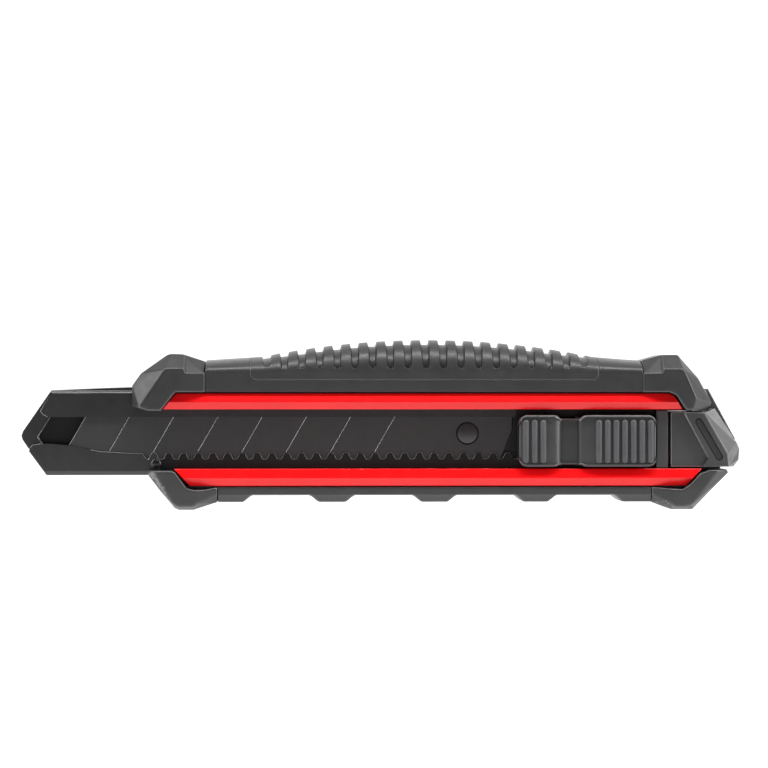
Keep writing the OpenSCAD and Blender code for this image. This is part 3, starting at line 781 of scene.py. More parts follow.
@dataclass
class MetalBody:
    """Red die-cast halves, back cover, window stop and their screws."""

    rail_face_y: float = 8.9
    core_y: float = 8.3
    rail_edge: float = 0.14
    cover_edge: float = 0.1
    stop_edge: float = 0.25
    screw_sides: int = 36
    screw_turn: float = 1.0
    screw_rows: tuple[ScrewRow, ...] = (
        ScrewRow("cover_screw_heads", "cover_screws", -38.0, 40.0, 3, 15.9, 2.0, 1.0, 3),
        ScrewRow("lower_case_screws", "case_screws", -25.0, 35.0, 3, 5.75, 1.5, 0.85, 5),
        ScrewRow("upper_case_screws", "case_screws", -34.5, 88.5, 2, 29.0, 2.0, 1.0, 11, 0.2, False))

    def build(self, row: Row) -> None:
        """Builds every piece of the metal body.

        Args:
            row: Maker of rows.
        """
        for node, name in (("front_frame", "red_front_half"), ("rear_frame", "red_back_half")):
            copy = FrameCopy(node, name)
            outer = copy.edges(lambda a, b: min(abs(a.y), abs(b.y)) > self.rail_face_y, 15, 1.0)
            copy.round_edges(outer, self.rail_edge)
            self.blacken_core(place(copy.finish(), Body.HANDLE, RED_PAINT, node))
        cover_y = box_mm("back_cover")[1].y
        cover = FrameCopy("back_cover", "back_cover_plate")
        back = cover.edges(lambda a, b: min(a.y, b.y) > cover_y - NEAR, shortest=0.3)
        cover.round_edges(back, self.cover_edge, 2)
        place(cover.finish(), Body.HANDLE, HARD_PLASTIC, "back_cover")
        stop = FrameCopy("window_stop", "window_stop_block")
        stop.round_edges(stop.edges(lambda a, b: True, shortest=0.5), self.stop_edge)
        place(stop.finish(), Body.HANDLE, HARD_PLASTIC, "window_stop")
        for screws in self.screw_rows:
            self.build_screws(row, screws)

    def blacken_core(self, half: Piece) -> None:
        """Leaves the enamel on the rails only and coats the core behind them black.

        Args:
            half: One red half, already dressed.
        """
        half.data.materials.append(CORE_COAT.material())
        for face in half.data.polygons:
            reach = max(abs(half.data.vertices[i].co.y) for i in face.vertices)
            face.material_index = int(reach < self.core_y * MM)

    def build_screws(self, row: Row, screws: ScrewRow) -> None:
        """Builds one row of countersunk socket screws.

        Args:
            row: Maker of rows.
            screws: The row's sizes.
        """
        low, high = box_mm(screws.node)
        face_y = high.y - screws.sunk
        shape = self.screw(face_y - low.y, screws.head_r, screws.shank_r)
        piece = row.build(screws.name, shape, screws.count, Vector((screws.first_x, face_y, screws.z)),
                          Vector((screws.step, 0, 0)), ZINC, turn=self.screw_turn, seed=screws.seed)
        place(piece, Body.HANDLE, ZINC, *([screws.node] if screws.stands_for_node else []))

    def screw(self, length: float, head_r: float, shank_r: float) -> Piece:
        """Countersunk screw with a hexagon socket, its head's face at the origin and its tip at -Y.

        Args:
            length: Whole length.
            head_r: Radius of the head.
            shank_r: Radius of the shank.

        Returns:
            The new object.
        """
        head_h = head_r - shank_r
        socket_r = head_r * 0.5
        deep = head_h * 0.8 + 0.3
        rim = 0.12
        profile = [(POLE, -length), (shank_r * 0.6, -length), (shank_r, -length + 0.4),
                   (shank_r, -head_h - 0.3), (head_r, -0.3), (head_r, -rim), (head_r - rim, 0.0)]
        socket = [(socket_r + 0.08, 0.0), (socket_r, -0.08), (socket_r, -deep), (POLE, -deep - 0.2)]
        angles = circle(self.screw_sides)
        rings = [[Vector((r * math.cos(a), y, r * math.sin(a))) for a in angles] for r, y in profile]
        rings += [[Vector((r * self.hexagon(a) * math.cos(a), y, r * self.hexagon(a) * math.sin(a)))
                   for a in angles] for r, y in socket]
        return loft("screw_shape", rings)

    @staticmethod
    def hexagon(angle: float) -> float:
        """Distance of a hexagon's side at an angle, as a share of its corner's."""
        return math.cos(math.pi / 6) / math.cos(angle % (math.pi / 3) - math.pi / 6)


@dataclass
class BladeSleeve:
    """Folded steel sleeve with its lock rack, the nose tongue and the rivets."""

    fold: float = 0.95
    chamfer: float = 0.11
    tooth_round: float = 0.14
    rack_z: Pair = (11.2, 13.0)
    rack_x: float = -52.0
    tongue_edge: float = 0.12
    rivet_r: float = 1.1
    rivet_shank_r: float = 0.65
    rivet_head: float = 0.5
    rim_y: float = 1.7
    nose_x: float = -73.9
    # Bounds of the sleeve's painted shade.
    painted_shade_x: Pair = (-49.5, 31.0)
    painted_shade_z: Pair = (13.3, 20.0)

    def build(self) -> None:
        """Builds the sleeve and what is fixed to it."""
        low, high = box_mm("blade_channel")
        sleeve = FrameCopy("blade_channel", "blade_sleeve")
        # Cuts and marks the faces that get painted shade.
        for x in self.painted_shade_x:
            sleeve.cut(x)
        sleeve.mark(lambda at: self.is_painted_shade(at, low, high))
        corners = sleeve.edges(lambda a, b: self.is_tooth_corner(a, b))
        sleeve.round_edges(corners, self.tooth_round, 3)
        folds = sleeve.edges(lambda a, b: self.is_fold(a, b, low, high), angle=60, shortest=20)
        sleeve.round_edges(folds, self.fold, 6)
        # Painted highlight along the upper fold.
        sleeve.paint_highlight(lambda at, normal: self.is_fold_line(at, normal, high))
        # Front edges of the rack and the nose, rounded with a painted highlight.
        rims = sleeve.edges(lambda a, b: max(a.y, b.y) < low.y + NEAR and self.is_highlit_edge(a, b), 60)
        rims += sleeve.edges(lambda a, b: self.is_nose_rim(a, b, low), 60)
        sleeve.round_edges(rims, self.chamfer, 1, highlit=True)
        piece = place(sleeve.finish(), Body.HANDLE, CHANNEL_STEEL, "blade_channel")
        # Third material: the painted shade.
        piece.data.materials.append(PAINTED_SHADE_STEEL.material())
        tongue = FrameCopy("nose_support", "nose_tongue")
        tongue.round_edges(tongue.edges(lambda a, b: True, shortest=1.0), self.tongue_edge, 2)
        place(tongue.finish(), Body.HANDLE, HARD_PLASTIC, "nose_support")
        self.build_rivet()
        dress_node("channel_rivets", ZINC)

    def is_tooth_corner(self, a: Vector, b: Vector) -> bool:
        """Whether an edge is an upright corner of a rack tooth."""
        upright = abs(a.x - b.x) < NEAR and abs(a.z - b.z) < NEAR
        return upright and a.x > self.rack_x and self.rack_z[0] < a.z < self.rack_z[1]

    def is_highlit_edge(self, a: Vector, b: Vector) -> bool:
        """Whether a front edge gets a painted highlight: the rack's profile and the nose."""
        return max(a.z, b.z) < self.painted_shade_z[0] + 1 or max(a.x, b.x) < self.nose_x

    def is_painted_shade(self, at: Vector, low: Vector, high: Vector) -> bool:
        """Whether a face gets painted shade, near-black steel: rack, slide end and back wall.

        Args:
            at: Middle of the face.
            low: Lowest corner of the sleeve.
            high: Highest corner of the sleeve.

        Returns:
            True where the steel gets painted shade.
        """
        if not low.z + 1 < at.z < high.z - 1:
            return False
        if at.y > low.y + self.rim_y + 0.1:
            return at.y < high.y - 0.1
        rack = at.x > self.painted_shade_x[0] and at.z < self.painted_shade_z[0]
        return rack or (at.x > self.painted_shade_x[1] and at.z > self.painted_shade_z[1])

    def is_nose_rim(self, a: Vector, b: Vector, low: Vector) -> bool:
        """Whether an edge is the inner edge of the raised rim at the nose."""
        front = low.y + self.rim_y
        return all(abs(p.y - front) < NEAR and low.x + 3.5 < p.x < low.x + 6.6 for p in (a, b))

    def is_fold_line(self, at: Vector, normal: Vector, high: Vector) -> bool:
        """Whether a face is the painted highlight line low on the upper fold."""
        return at.z > high.z - self.fold and normal.y < 0 and 0.3 < normal.z < 0.5

    @staticmethod
    def is_fold(a: Vector, b: Vector, low: Vector, high: Vector) -> bool:
        """Whether an edge is a lengthwise fold of the sheet."""
        on_limit = any(abs(a.z - z) < NEAR and abs(b.z - z) < NEAR for z in (low.z, high.z))
        return abs(a.y - b.y) < NEAR and on_limit

    def build_rivet(self) -> None:
        """Builds the domed rivet head beside the lower bumper."""
        low, high = box_mm("nose_rivet")
        middle = (low + high) / 2
        end = high.y - low.y
        profile = [(POLE, 0.0), (self.rivet_r * 0.45, 0.03), (self.rivet_r * 0.8, 0.14),
                   (self.rivet_r, 0.36), (self.rivet_r, self.rivet_head),
                   (self.rivet_shank_r, self.rivet_head), (self.rivet_shank_r, end), (POLE, end)]
        head = turned("nose_rivet_head", profile, Vector((middle.x, low.y, middle.z)))
        place(head, Body.HANDLE, RIVET_STEEL, "nose_rivet")


@dataclass
class SpineGrip:
    """Over-moulded spine grip and the ribbed insert let into it."""

    spine_r: float = 187.9
    spine_x: float = 11.1
    shoulder_z: float = 30.6
    arc_x: Pair = (-26.5, 48.7)
    end_z: float = 33.7
    dip: Pair = (54.6, 34.0)
    corner: float = 1.6
    grooves: int = 19
    pitch: float = 3.98
    middle_x: float = 10.4
    groove_half: float = 0.75
    groove_z: float = 31.8
    groove_depth: float = 1.05
    flare: float = 0.22
    core: Pair = (8.24, 31.04)
    soft_edge: float = 0.28
    fold_rate: float = 4.0
    lip_highlight_w: float = 0.16
    lip_highlight_reach: float = 1.5
    wall: Pair = (-0.13, 0.2)
    end_lift: float = 0.4
    flare_lift: float = 0.8
    arch_steps: int = 16
    arch_rise: float = 0.9
    arch_fall: float = 0.8
    flat_levels: tuple[float, ...] = (0.0, 0.04, 0.1, 0.2, 0.3, 0.5, 0.62, 0.66, 0.7, 0.74, 0.8, 0.9, 1.0)
    groove_levels: tuple[float, ...] = (0.15, 0.4, 0.7, 0.9, 1.02, 1.1, 1.18, 1.26, 1.35, 1.45, 1.55,
                                        1.7, 1.9, 2.1, 2.4)
    groove_offsets: tuple[float, ...] = (0.0, 0.25, 0.45, 0.56, 0.62, 0.68, 0.74, 0.8, 0.86, 0.95,
                                         1.15, 1.5)

    def build(self) -> None:
        """Builds the grip's shell and its insert."""
        self.low, self.high = box_mm("upper_grip")
        self.half = self.high.y
        self.zone_low, self.zone_high = box_mm("grip_insert")
        place(self.shell(), Body.HANDLE, GRIP_PLASTIC, "upper_grip")
        place(self.insert(), Body.HANDLE, GRIP_RUBBER, "grip_insert")

    def top_z(self, x: float) -> float:
        """Height of the spine at x.

        Args:
            x: Place along the knife.

        Returns:
            The height.
        """
        if x < self.arc_x[0]:
            return along([(self.low.x, self.end_z), (self.arc_x[0], self.arc_z(self.arc_x[0]))], x)
        if x > self.arc_x[1]:
            return along([(self.arc_x[1], self.arc_z(self.arc_x[1])), self.dip,
                          (self.high.x, self.end_z)], x)
        return self.arc_z(x)

    def arc_z(self, x: float) -> float:
        """Height of the spine's long arc at x."""
        drop = self.spine_r - math.sqrt(self.spine_r ** 2 - (x - self.spine_x) ** 2)
        return self.zone_high.z - drop

    def side_y(self, z: float, top: float) -> float:
        """Half of the grip's thickness at a height.

        Args:
            z: Height of the point.
            top: Height of the crest.

        Returns:
            Half the thickness.
        """
        if z <= self.shoulder_z:
            return self.half
        share = min(1.0, (z - self.shoulder_z) / (top - self.shoulder_z))
        return self.half * math.cos(math.asin(share ** (1 / self.arch_rise))) ** self.arch_fall

    def section(self, base: float, top: float) -> list[tuple[Vector, Vector]]:
        """Half of a section, from its lower edge to its crest.

        Args:
            base: Height of the lower edge.
            top: Height of the crest.

        Returns:
            Each point as (y, z) with its outward normal.
        """
        knee = max(self.shoulder_z, base + 0.05)
        levels = [blend(base, knee, t) for t in self.flat_levels]
        reach = self.groove_levels[-1]
        arch_z = self.shoulder_z + reach
        levels += [blend(knee, arch_z, t / reach) for t in self.groove_levels]
        points = [Vector((self.side_y(z, top), z)) for z in levels]
        first = math.asin((reach / (top - self.shoulder_z)) ** (1 / self.arch_rise))
        for i in range(1, self.arch_steps + 1):
            a = blend(first, math.pi / 2, i / self.arch_steps)
            points.append(Vector((self.half * max(math.cos(a), 0.0) ** self.arch_fall,
                                  self.shoulder_z + (top - self.shoulder_z) * math.sin(a) ** self.arch_rise)))
        normals = []
        for i, point in enumerate(points):
            run = points[min(i + 1, len(points) - 1)] - points[max(i - 1, 0)]
            normals.append(Vector((run.y, -run.x)).normalized() if i < len(points) - 1 else Vector((0, 1)))
        return list(zip(points, normals))

    def ring(self, x: float, base: float, sink: Callable[[float, float], float],
             shift: Callable[[float], float] = lambda z: 0.0, fold_in: bool = False) -> Ring:
        """Closed ring of the grip at x.

        Args:
            x: Place along the knife.
            base: Height of the lower edge.
            sink: How far the surface lies below the full grip, from x and z.
            shift: How far a point moves along X, from z.
            fold_in: Whether a sink of 1 or more lays the surface on the metal core.

        Returns:
            The ring, front first.
        """
        top = self.top_z(x)
        outer = []
        for point, normal in self.section(base, top):
            depth = sink(x, point.y)
            moved = point - normal * depth
            if fold_in and depth > 0:
                inner = Vector((min(point.x, self.core[0] + 0.06), min(point.y, self.core[1] + 0.06)))
                moved = point.lerp(inner, min(depth, 1.0))
            outer.append(Vector((x + shift(point.y), -moved.x, moved.y)))
        return wrap(x, outer, self.core, min(base, self.core[1] - 0.05))

    def zone_depth(self, x: float, z: float) -> float:
        """Distance inside the insert's rounded zone, negative outside it.

        Args:
            x: Place along the knife.
            z: Height.

        Returns:
            The distance.
        """
        centre = (self.zone_low.x + self.zone_high.x) / 2
        half_x = (self.zone_high.x - self.zone_low.x) / 2
        dx = abs(x - centre) - (half_x - self.corner)
        dz = (self.zone_low.z + self.corner) - z
        return self.corner - math.hypot(max(dx, 0.0), max(dz, 0.0)) - min(max(dx, dz), 0.0)

    def shell(self) -> Piece:
        """Grip shell, folded in under the insert.

        Returns:
            The new object.
        """
        near_end = (0.0, 0.05, 0.12, 0.3, 0.7, 1.4, 2.6, 4.0, 5.5, 7.0, 8.5)
        near_insert = (-0.9, -0.45, -0.2, -0.08, 0.0, 0.08, 0.16, 0.24, 0.34, 0.6, 1.0, 1.6, 2.4)
        xs = {*inset(self.low.x, self.high.x, near_end),
              *inset(self.zone_low.x, self.zone_high.x, near_insert),
              *evenly(self.zone_low.x + 4, self.zone_high.x - 4, 26)}

        def sink(x: float, z: float) -> float:
            """Depth of the shell's surface: soft at its rims, folded away under the insert."""
            edge = min(z - self.low.z, x - self.low.x, self.high.x - x)
            inside = self.zone_depth(x, z)
            return soft_drop(edge, self.soft_edge) + self.fold_rate * max(0.0, inside - 0.02)

        return loft("spine_grip_shell", [self.ring(x, self.low.z, sink, fold_in=True) for x in sorted(xs)])

    def insert(self) -> Piece:
        """Ribbed insert with its rounded cross grooves.

        Returns:
            The new object.
        """
        rings = []
        ends = (0.0, 0.04, 0.1, 0.2, 0.35, 0.6, 0.9, 1.2, 1.6)
        places = [(self.zone_low.x + d, 0.0, None) for d in ends]
        first = self.middle_x - (self.grooves - 1) / 2 * self.pitch
        for i in range(self.grooves):
            centre = first + i * self.pitch
            offsets = sorted({-d for d in self.groove_offsets} | set(self.groove_offsets))
            places += [(centre + d, d, i) for d in offsets]
            if i < self.grooves - 1:
                places.append((centre + self.pitch / 2, 0.0, None))
        places += [(self.zone_high.x - d, 0.0, None) for d in reversed(ends)]
        for x, offset, index in places:
            edge_x = min(x - self.zone_low.x, self.zone_high.x - x)
            base = self.zone_low.z + edge_drop(edge_x, self.corner)
            rings.append(self.ring(x, base, self.insert_sink(base, edge_x, offset, index),
                                   self.flare_shift(x, offset)))
        piece = loft("ribbed_insert", rings)
        # Faces along the insert's rim get the lighter copy of the rubber: painted highlight.
        for face in piece.data.polygons:
            at = face.center / MM
            lit_lip = self.zone_depth(at.x, at.z) < self.lip_highlight_w and abs(at.y) > self.half - self.lip_highlight_reach
            face.material_index = int(lit_lip)
        return piece

    def insert_sink(self, base: float, edge_x: float, offset: float,
                    index: int | None) -> Callable[[float, float], float]:
        """Surface depth of the insert for one ring.

        Args:
            base: Height of the ring's lower edge.
            edge_x: Distance from the insert's end.
            offset: Distance from the groove's middle.
            index: Number of the groove, or None between grooves.

        Returns:
            The depth from x and z.
        """
        last = self.grooves - 1
        share = {0: 0.55, 1: 0.85, last - 1: 0.85, last: 0.55}.get(index, 1.0)
        low_z = self.groove_z + self.groove_half + (self.end_lift if index in (0, last) else 0.0)

        def sink(x: float, z: float) -> float:
            """Depth of the insert's surface: soft at its rims, sunk in the groove."""
            drop = edge_drop(min(z - base, edge_x) + 0.02, self.soft_edge)
            if index is None:
                return drop
            reach = abs(offset) if z > low_z else math.hypot(offset, z - low_z)
            return drop + self.groove_depth * share * ease(*self.wall, self.groove_half - reach)

        return sink

    def flare_shift(self, x: float, offset: float) -> Callable[[float], float]:
        """Sideways move that opens a groove towards the crest.

        Args:
            x: Place along the knife.
            offset: Distance from the groove's middle.

        Returns:
            The move along X, from z.
        """
        size = abs(offset)
        mid = self.pitch / 2
        grow = size / self.groove_half if size < self.groove_half else (mid - size) / (mid - self.groove_half)
        top = self.top_z(x)

        def shift(z: float) -> float:
            """Move along X at a height."""
            rise = ease(self.groove_z + self.flare_lift, top, z)
            return math.copysign(self.flare * grow * rise, offset) if offset else 0.0

        return shift


@dataclass
class BellyGrip:
    """Lower grip with five pads."""

    pads: tuple[Pair, ...] = ((-37.5, -31.0), (-13.4, -7.9), (9.8, 15.1), (32.9, 37.8),
                                             (55.3, 62.5))
    pad_z: float = 1.68
    recess_z: float = 3.3
    ramp: float = 2.4
    chamfer: Pair = (7.6, 3.4)
    chamfer_fade: Pair = (8.4, 6.5)
    chamfer_round: float = 0.35
    knee_z: Pair = (4.4, 4.1)
    core: Pair = (8.24, 4.16)
    soft_edge: float = 0.3
    edge_levels: tuple[float, ...] = (0.0, 0.05, 0.12, 0.3)
    long_steps: int = 260
    cross_steps: int = 22

    def build(self) -> None:
        """Builds the grip."""
        self.low, self.high = box_mm("lower_grip")
        xs = {*inset(self.low.x, self.high.x, self.edge_levels),
              *evenly(self.low.x + 0.4, self.high.x - 0.4, self.long_steps)}
        grip = loft("belly_grip", [self.ring(x) for x in sorted(xs)])
        place(grip, Body.HANDLE, GRIP_PLASTIC, "lower_grip")

    def belly_z(self, x: float) -> float:
        """Height of the underside at x, with eased ramps beside each pad.

        Args:
            x: Place along the knife.

        Returns:
            The height.
        """
        away = min(max(a - x, x - b, 0.0) for a, b in self.pads)
        straight = min(1.0, away / self.ramp)
        return blend(self.pad_z, self.recess_z, 0.5 * straight + 0.5 * ease(0, self.ramp, away))

    def ring(self, x: float) -> Ring:
        """Closed ring of the grip at x.

        Args:
            x: Place along the knife.

        Returns:
            The ring, front first.
        """
        half = self.high.y
        flat_y, chamfer_z = self.chamfer
        drop = soft_drop(min(x - self.low.x, self.high.x - x), self.soft_edge)
        belly = self.belly_z(x)
        side_z, under_z = self.knee_z
        outer = [(half - soft_drop(self.high.z - z, self.soft_edge) - drop, z)
                 for z in (*(self.high.z - d for d in self.edge_levels), side_z)]
        for i in range(self.cross_steps + 1):
            y = blend(half, 0.0, (i / self.cross_steps) ** 1.6)
            slope = self.low.z + (y - flat_y) * (chamfer_z - self.low.z) / (half - flat_y)
            soft = self.chamfer_round
            z = 0.5 * (belly + slope + math.hypot(belly - slope, soft))
            z -= 0.5 * soft * ease(*self.chamfer_fade, y)
            outer.append((y - drop * (i < 3), max(min(z, under_z), self.low.z) + drop))
        return wrap(x, [Vector((x, -y, z)) for y, z in outer], self.core, self.high.z)


@dataclass
class CornerBumpers:
    """Four thick corner bumpers."""

    cell: float = 0.17
    passes: int = 9

    def build(self) -> None:
        """Builds the bumpers."""
        for node in ("front_upper_bumper", "front_lower_bumper", "rear_upper_bumper", "rear_lower_bumper"):
            piece = moulded_copy(node, node.replace("bumper", "pad"), self.cell, self.passes)
            place(piece, Body.HANDLE, BUMPER_RUBBER, node)


@dataclass
class ThumbUnit:
    """Two-pad thumb button with its ridges, lock plate and leaf spring."""

    face: tuple[Pair, ...] = ((37.4, 0.0), (38.6, 0.08), (39.6, 0.35), (40.4, 0.8),
                                             (41.0, 1.35), (41.14, 2.0), (44.86, 2.0), (44.95, 1.3),
                                             (45.6, 0.85), (46.4, 0.5), (47.4, 0.2), (48.6, 0.0))
    end_round: float = 0.9
    corner: float = 2.0
    inner_corner: float = 1.9
    roll: float = 0.55
    saddle_x: Pair = (41.1, 44.9)
    saddle_z: Pair = (10.0, 20.55)
    ridge_r: float = 0.72
    ridge_z: Pair = (10.43, 20.3)
    ridge_rows: tuple[tuple[float, int], ...] = ((32.9, 3), (49.4, 7))
    ridge_step: float = 1.95
    ridge_proud: float = 0.4
    ridged_x: Pair = (33.5, 60.3)
    back_y: float = -6.9
    side_turn: float = 0.42
    front_turn: Pair = (0.25, 0.95)

    def build(self, row: Row) -> None:
        """Builds the button and what moves with it.

        Args:
            row: Maker of rows.
        """
        self.low, self.high = box_mm("thumb_slide")
        self.pad_y = self.low.y + self.ridge_proud
        place(self.button(), Body.THUMB, SLIDE_PLASTIC, "thumb_slide")
        for number, (first_x, count) in enumerate(self.ridge_rows, 1):
            start = Vector((first_x, self.low.y + self.ridge_r, sum(self.ridge_z) / 2))
            ridges = row.build(f"thumb_ridges_{number}", self.ridge(), count, start,
                               Vector((self.ridge_step, 0, 0)), SHADED_RIDGE_PLASTIC)
            place(ridges, Body.THUMB, SHADED_RIDGE_PLASTIC)
        dress_node("lock_plate", ZINC)
        self.build_spring()

    def edges_z(self, x: float) -> Pair:
        """Lower and upper edge of the button at x.

        Args:
            x: Place along the knife.

        Returns:
            Both heights, the lower one first.
        """
        end = min(x - self.low.x, self.high.x - x)
        cut = edge_drop(end, self.corner)
        if self.saddle_x[0] < x < self.saddle_x[1]:
            return self.saddle_z
        inner = min(abs(x - self.saddle_x[0]), abs(x - self.saddle_x[1]))
        pad_cut = edge_drop(inner, self.inner_corner)
        low = self.low.z + cut + min(pad_cut, self.saddle_z[0] - self.low.z)
        return low, self.high.z - cut - min(pad_cut, self.high.z - self.saddle_z[1])

    def face_y(self, x: float) -> float:
        """Front face of the button at x."""
        end = min(x - self.low.x, self.high.x - x)
        return self.pad_y + along(self.face, x) + edge_drop(end, self.end_round)

    def button(self) -> Piece:
        """Body of the button.

        Returns:
            The new object.
        """
        near_end = (0.0, 0.03, 0.08, 0.16, 0.28, 0.45, 0.7, 1.0, 1.4, 1.8, 2.2)
        near_saddle = (-1.9, -1.6, -1.2, -0.9, -0.6, -0.4, -0.25, -0.12, -0.04, 0.04, 0.12)
        xs = {*inset(self.low.x, self.high.x, near_end), *inset(*self.saddle_x, near_saddle),
              *evenly(*self.ridged_x, 60)}
        piece = loft("thumb_button", [self.ring(x) for x in sorted(xs)])
        # Faces turned up or sideways towards the lamps get the lighter copy: painted highlight on the rims
        # and flanks.
        for face in piece.data.polygons:
            lit_face = face.normal.z > self.side_turn or abs(face.normal.x) > self.side_turn
            face.material_index = int(lit_face and self.front_turn[0] < -face.normal.y < self.front_turn[1])
        return piece

    def ring(self, x: float) -> Ring:
        """Closed ring of the button at x, its face sunk behind a rolled rim above and below.

        The ring crosses itself beside each rim, so the face lies level with the outer foot of the rims.

        Args:
            x: Place along the knife.

        Returns:
            The ring, lower rim first.
        """
        low, high = self.edges_z(x)
        front = self.face_y(x)
        roll = [(self.roll * (1 - math.sin(a)), self.roll * (1 - math.cos(a))) for a in quarter(6)]
        lower = [Vector((x, front + down, low + side)) for side, down in reversed(roll)]
        upper = [Vector((x, front + down, high - side)) for side, down in roll]
        return [*lower, Vector((x, self.back_y, low)), Vector((x, self.back_y, high)), *upper]

    def ridge(self) -> Piece:
        """One round-ended ridge, upright about the origin.

        Returns:
            The new object.
        """
        half = (self.ridge_z[1] - self.ridge_z[0]) / 2 - self.ridge_r
        cap = quarter(6)
        rings = []
        for sign, a in [(-1, a) for a in cap] + [(1, a) for a in reversed(cap)]:
            r = max(self.ridge_r * math.sin(a), 0.004)
            z = sign * (half + self.ridge_r * math.cos(a))
            rings.append([Vector((r * math.cos(t), r * math.sin(t), z)) for t in circle(20)])
        return loft("ridge_shape", rings)

    def build_spring(self) -> None:
        """Builds the bowed leaf spring."""
        spring = FrameCopy("lock_spring", "leaf_spring").finish()
        place(spring, Body.CARRIER, ZINC, "lock_spring")
        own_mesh(spring)


@dataclass
class BladeUnit:
    """Segmented blade, its bright score lines and the carrier with its peg."""

    segment: float = 10.0
    angle: float = 60.0
    score_w: float = 0.17
    score_h: float = 0.05
    edge_h: float = 1.2
    count: int = 7
    peg_r: float = 2.3
    peg_x: float = 20.03
    peg_z: float = 17.13
    peg_proud: float = 0.08
    peg_rim: float = 0.22
    plate_edge: float = 0.1

    def build(self, row: Row) -> None:
        """Builds the moving blade and dresses the stored ones.

        Args:
            row: Maker of rows.
        """
        dress_node("snap_blade", BLADE_STEEL)
        dress_node("spare_blades", BLADE_STEEL)
        low, high = box_mm("snap_blade")
        start = Vector((low.x + self.segment, low.y + 0.1 - self.score_h, low.z))
        lines = row.build("score_lines", self.score(high.z - low.z), self.count, start,
                          Vector((self.segment, 0, 0)), BARE_STEEL)
        place(lines, Body.CARRIER, BARE_STEEL)
        front = Vector((low.x + self.score_w, low.y - 0.02, low.z))
        broken = row.build("broken_edge", self.score(high.z - low.z), 1, front, Vector((1, 0, 0)),
                           BARE_STEEL)
        place(broken, Body.CARRIER, BARE_STEEL)
        carrier = FrameCopy("blade_carrier", "carrier_plate")
        front_edges = carrier.edges(lambda a, b: max(a.y, b.y) < low.y + NEAR, 40, 0.8)
        carrier.round_edges(front_edges, self.plate_edge, 2)
        place(carrier.finish(), Body.CARRIER, SHADED_CARRIER_PLASTIC, "blade_carrier")
        profile = [(POLE, 0.0), (self.peg_r - self.peg_rim, 0.0), (self.peg_r - self.peg_rim * 0.3, 0.06),
                   (self.peg_r, self.peg_rim), (self.peg_r, 0.4), (POLE, 0.4)]
        peg = turned("peg_face", profile, Vector((self.peg_x, low.y - self.peg_proud, self.peg_z)))
        place(peg, Body.CARRIER, BLADE_STEEL)

    def score(self, height: float) -> Piece:
        """One slanted strip of bare steel, from its foot at the origin up the blade.

        Args:
            height: Height of the blade.

        Returns:
            The new object.
        """
        run = 1 / math.tan(math.radians(self.angle))
        half = self.score_w / 2
        rings = []
        section = ((-half, self.score_h), (-half * 0.6, 0.0), (half * 0.6, 0.0), (half, self.score_h))
        for z in (self.edge_h, height - 0.02):
            rings.append([Vector((z * run + x, y, z)) for x, y in section])
        return loft("score_shape", rings)


@dataclass
class TailCap:
    """Pull-off tail cap with its slanted inlay."""

    edge: float = 0.18
    inlay_edge: float = 0.1
    recess_margin: float = 0.4

    def build(self) -> None:
        """Builds the cap and its inlay."""
        cap = FrameCopy("end_cap", "tail_cap")
        low, high = box_mm("cap_inlay")
        outer = cap.edges(lambda a, b: not self.near_inlay(a, low, high), 14, 1.2)
        # Rounded outer edges get the lighter copy of the plastic: painted highlight.
        cap.round_edges(outer, self.edge, highlit=True)
        place(cap.finish(), Body.CAP, HARD_PLASTIC, "end_cap")
        inlay = FrameCopy("cap_inlay", "tail_inlay")
        inlay.round_edges(inlay.edges(lambda a, b: max(a.y, b.y) < low.y + NEAR, 40), self.inlay_edge)
        place(inlay.finish(), Body.CAP, INLAY_RUBBER, "cap_inlay")

    def near_inlay(self, point: Vector, low: Vector, high: Vector) -> bool:
        """Whether a point lies on the inlay's recess.

        Args:
            point: The point.
            low: Lowest corner of the inlay.
            high: Highest corner of the inlay.

        Returns:
            True on the recess or close to it.
        """
        margin = self.recess_margin
        return (low.x - margin < point.x < high.x + margin and point.y < high.y + margin
                and low.z - margin < point.z < high.z + margin)


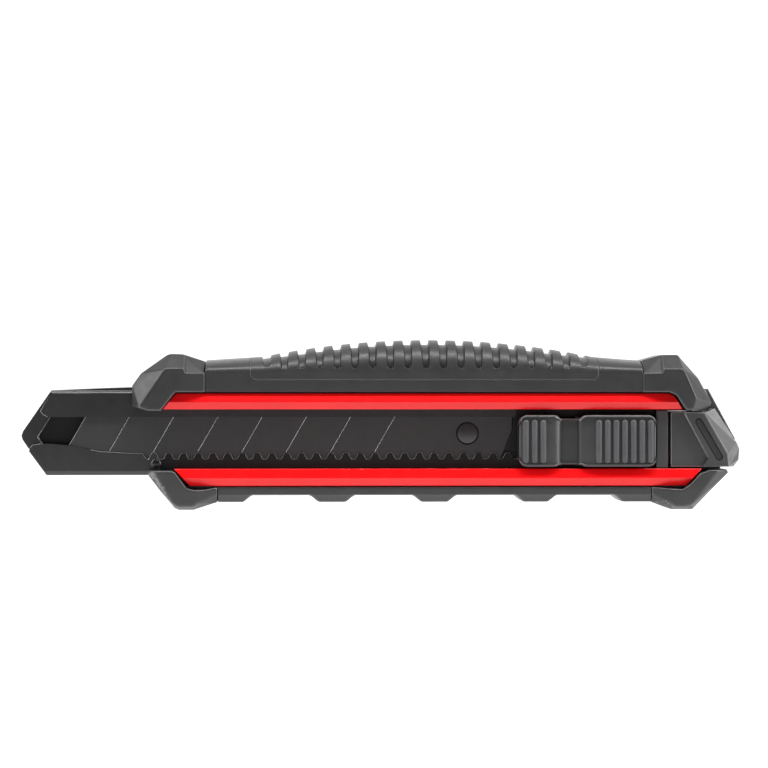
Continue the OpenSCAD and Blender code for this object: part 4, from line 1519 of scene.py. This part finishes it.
@dataclass
class Studio:
    """White cove, soft lights and the camera. Lengths are in millimetres."""

    camera_at: Triple = (-21.5, -714.6, 28.3)
    camera_to: Triple = (1.13, -4.6, 28.3)
    lens: float = 147.0
    sensor: float = 36.0
    cove_half: float = 1600.0
    cove_back: float = 1500.0
    cove_front: float = 1500.0
    cove_round: float = 400.0
    cove_high: float = 1500.0
    sky_front: float = 0.04
    sky_back: float = 0.85
    floor_glow: float = 1.1
    floor_dim: float = 0.05
    pool_y: Pair = (-150.0, -45.0)

    def build(self) -> None:
        """Builds the studio."""
        self.build_camera()
        self.build_world()
        self.build_cove()
        self.area("top_strip", (0, -200, 610), (0, 0, 20), (1200, 80), 6.0)
        self.area("left_strip", (-760, -190, 260), (-40, 0, 16), (170, 600), 2.8)
        self.area("right_strip", (760, -190, 260), (40, 0, 16), (170, 600), 4.6)
        bpy.context.scene.view_settings.view_transform = "Standard"

    def aim(self, item: Piece, at: Sequence[float], to: Sequence[float]) -> None:
        """Puts a camera or light at one point, looking at another."""
        item.location = Vector(at) * MM
        item.rotation_euler = (Vector(to) - Vector(at)).to_track_quat("-Z", "Y").to_euler()

    def build_camera(self) -> None:
        """Adds the camera."""
        lens = bpy.data.cameras.new("studio_camera")
        lens.lens = self.lens
        lens.sensor_width = self.sensor
        lens.clip_start = 0.01
        lens.clip_end = 20
        item = add_object("studio_camera", lens)
        self.aim(item, self.camera_at, self.camera_to)
        bpy.context.scene.camera = item

    def build_world(self) -> None:
        """White surroundings, bright behind the knife and dim in front of it."""
        world = bpy.data.worlds.new("studio_world")
        bpy.context.scene.world = world
        world.use_nodes = True
        graph = ShaderGraph(world.node_tree, "Background")
        graph.shader.inputs["Color"].default_value = WHITE
        turn = graph.spread(graph.depth("Generated"), self.sky_front, self.sky_back, -0.5, 0.5)
        graph.link(graph.combine("MAXIMUM", turn, graph.in_view()), graph.shader.inputs["Strength"])

    def build_cove(self) -> None:
        """Pale floor that curves up into a back wall."""
        bend_y = self.cove_back - self.cove_round
        side = [(-self.cove_front, 0.0)]
        side += [(bend_y + self.cove_round * math.sin(a), self.cove_round - self.cove_round * math.cos(a))
                 for a in quarter(16)]
        side.append((self.cove_back, self.cove_high))
        points = [Vector((x, y, z)) * MM for x in (-self.cove_half, self.cove_half) for y, z in side]
        size = len(side)
        mesh = bpy.data.meshes.new("studio_cove")
        mesh.from_pydata(points, [], [(i, i + 1, size + i + 1, size + i) for i in range(size - 1)])
        mesh.shade_smooth()
        paint = bpy.data.materials.new("cove_paint")
        paint.use_nodes = True
        graph = ShaderGraph(paint.node_tree)
        shader = graph.shader
        shader.inputs["Base Color"].default_value = (0.3, 0.3, 0.3, 1.0)
        shader.inputs["Roughness"].default_value = 0.9
        shader.inputs["Specular IOR Level"].default_value = 0.0
        shader.inputs["Emission Color"].default_value = WHITE
        near, far = (y * MM for y in self.pool_y)
        pool = graph.spread(graph.depth("Object"), self.floor_dim, self.floor_glow, near, far)
        glow = graph.spread(graph.in_view(), 0.0, 1.0, 0.0, 1.0)
        graph.link(pool, glow.node.inputs["To Min"])
        graph.link(glow, shader.inputs["Emission Strength"])
        mesh.materials.append(paint)
        add_object("studio_cove", mesh)

    def area(self, name: str, at: Sequence[float], to: Sequence[float], size: Pair,
             watts: float) -> None:
        """Adds a soft box.

        Args:
            name: Name of the light.
            at: Its place.
            to: Point that it faces.
            size: Its width and height.
            watts: Its power.
        """
        light = bpy.data.lights.new(name, "AREA")
        light.shape = "RECTANGLE"
        light.size, light.size_y = size[0] * MM, size[1] * MM
        light.energy = watts
        self.aim(add_object(name, light), at, to)


def main() -> None:
    """Builds the studio and every sub-assembly."""
    logging.basicConfig(level=logging.INFO, format="%(name)s: %(message)s")
    Studio().build()
    row = Row()
    MetalBody().build(row)
    BladeSleeve().build()
    SpineGrip().build()
    BellyGrip().build()
    CornerBumpers().build()
    ThumbUnit().build(row)
    BladeUnit().build(row)
    TailCap().build()
    dress_node("blade_magazine", HARD_PLASTIC)


if __name__ == "__main__":
    main()
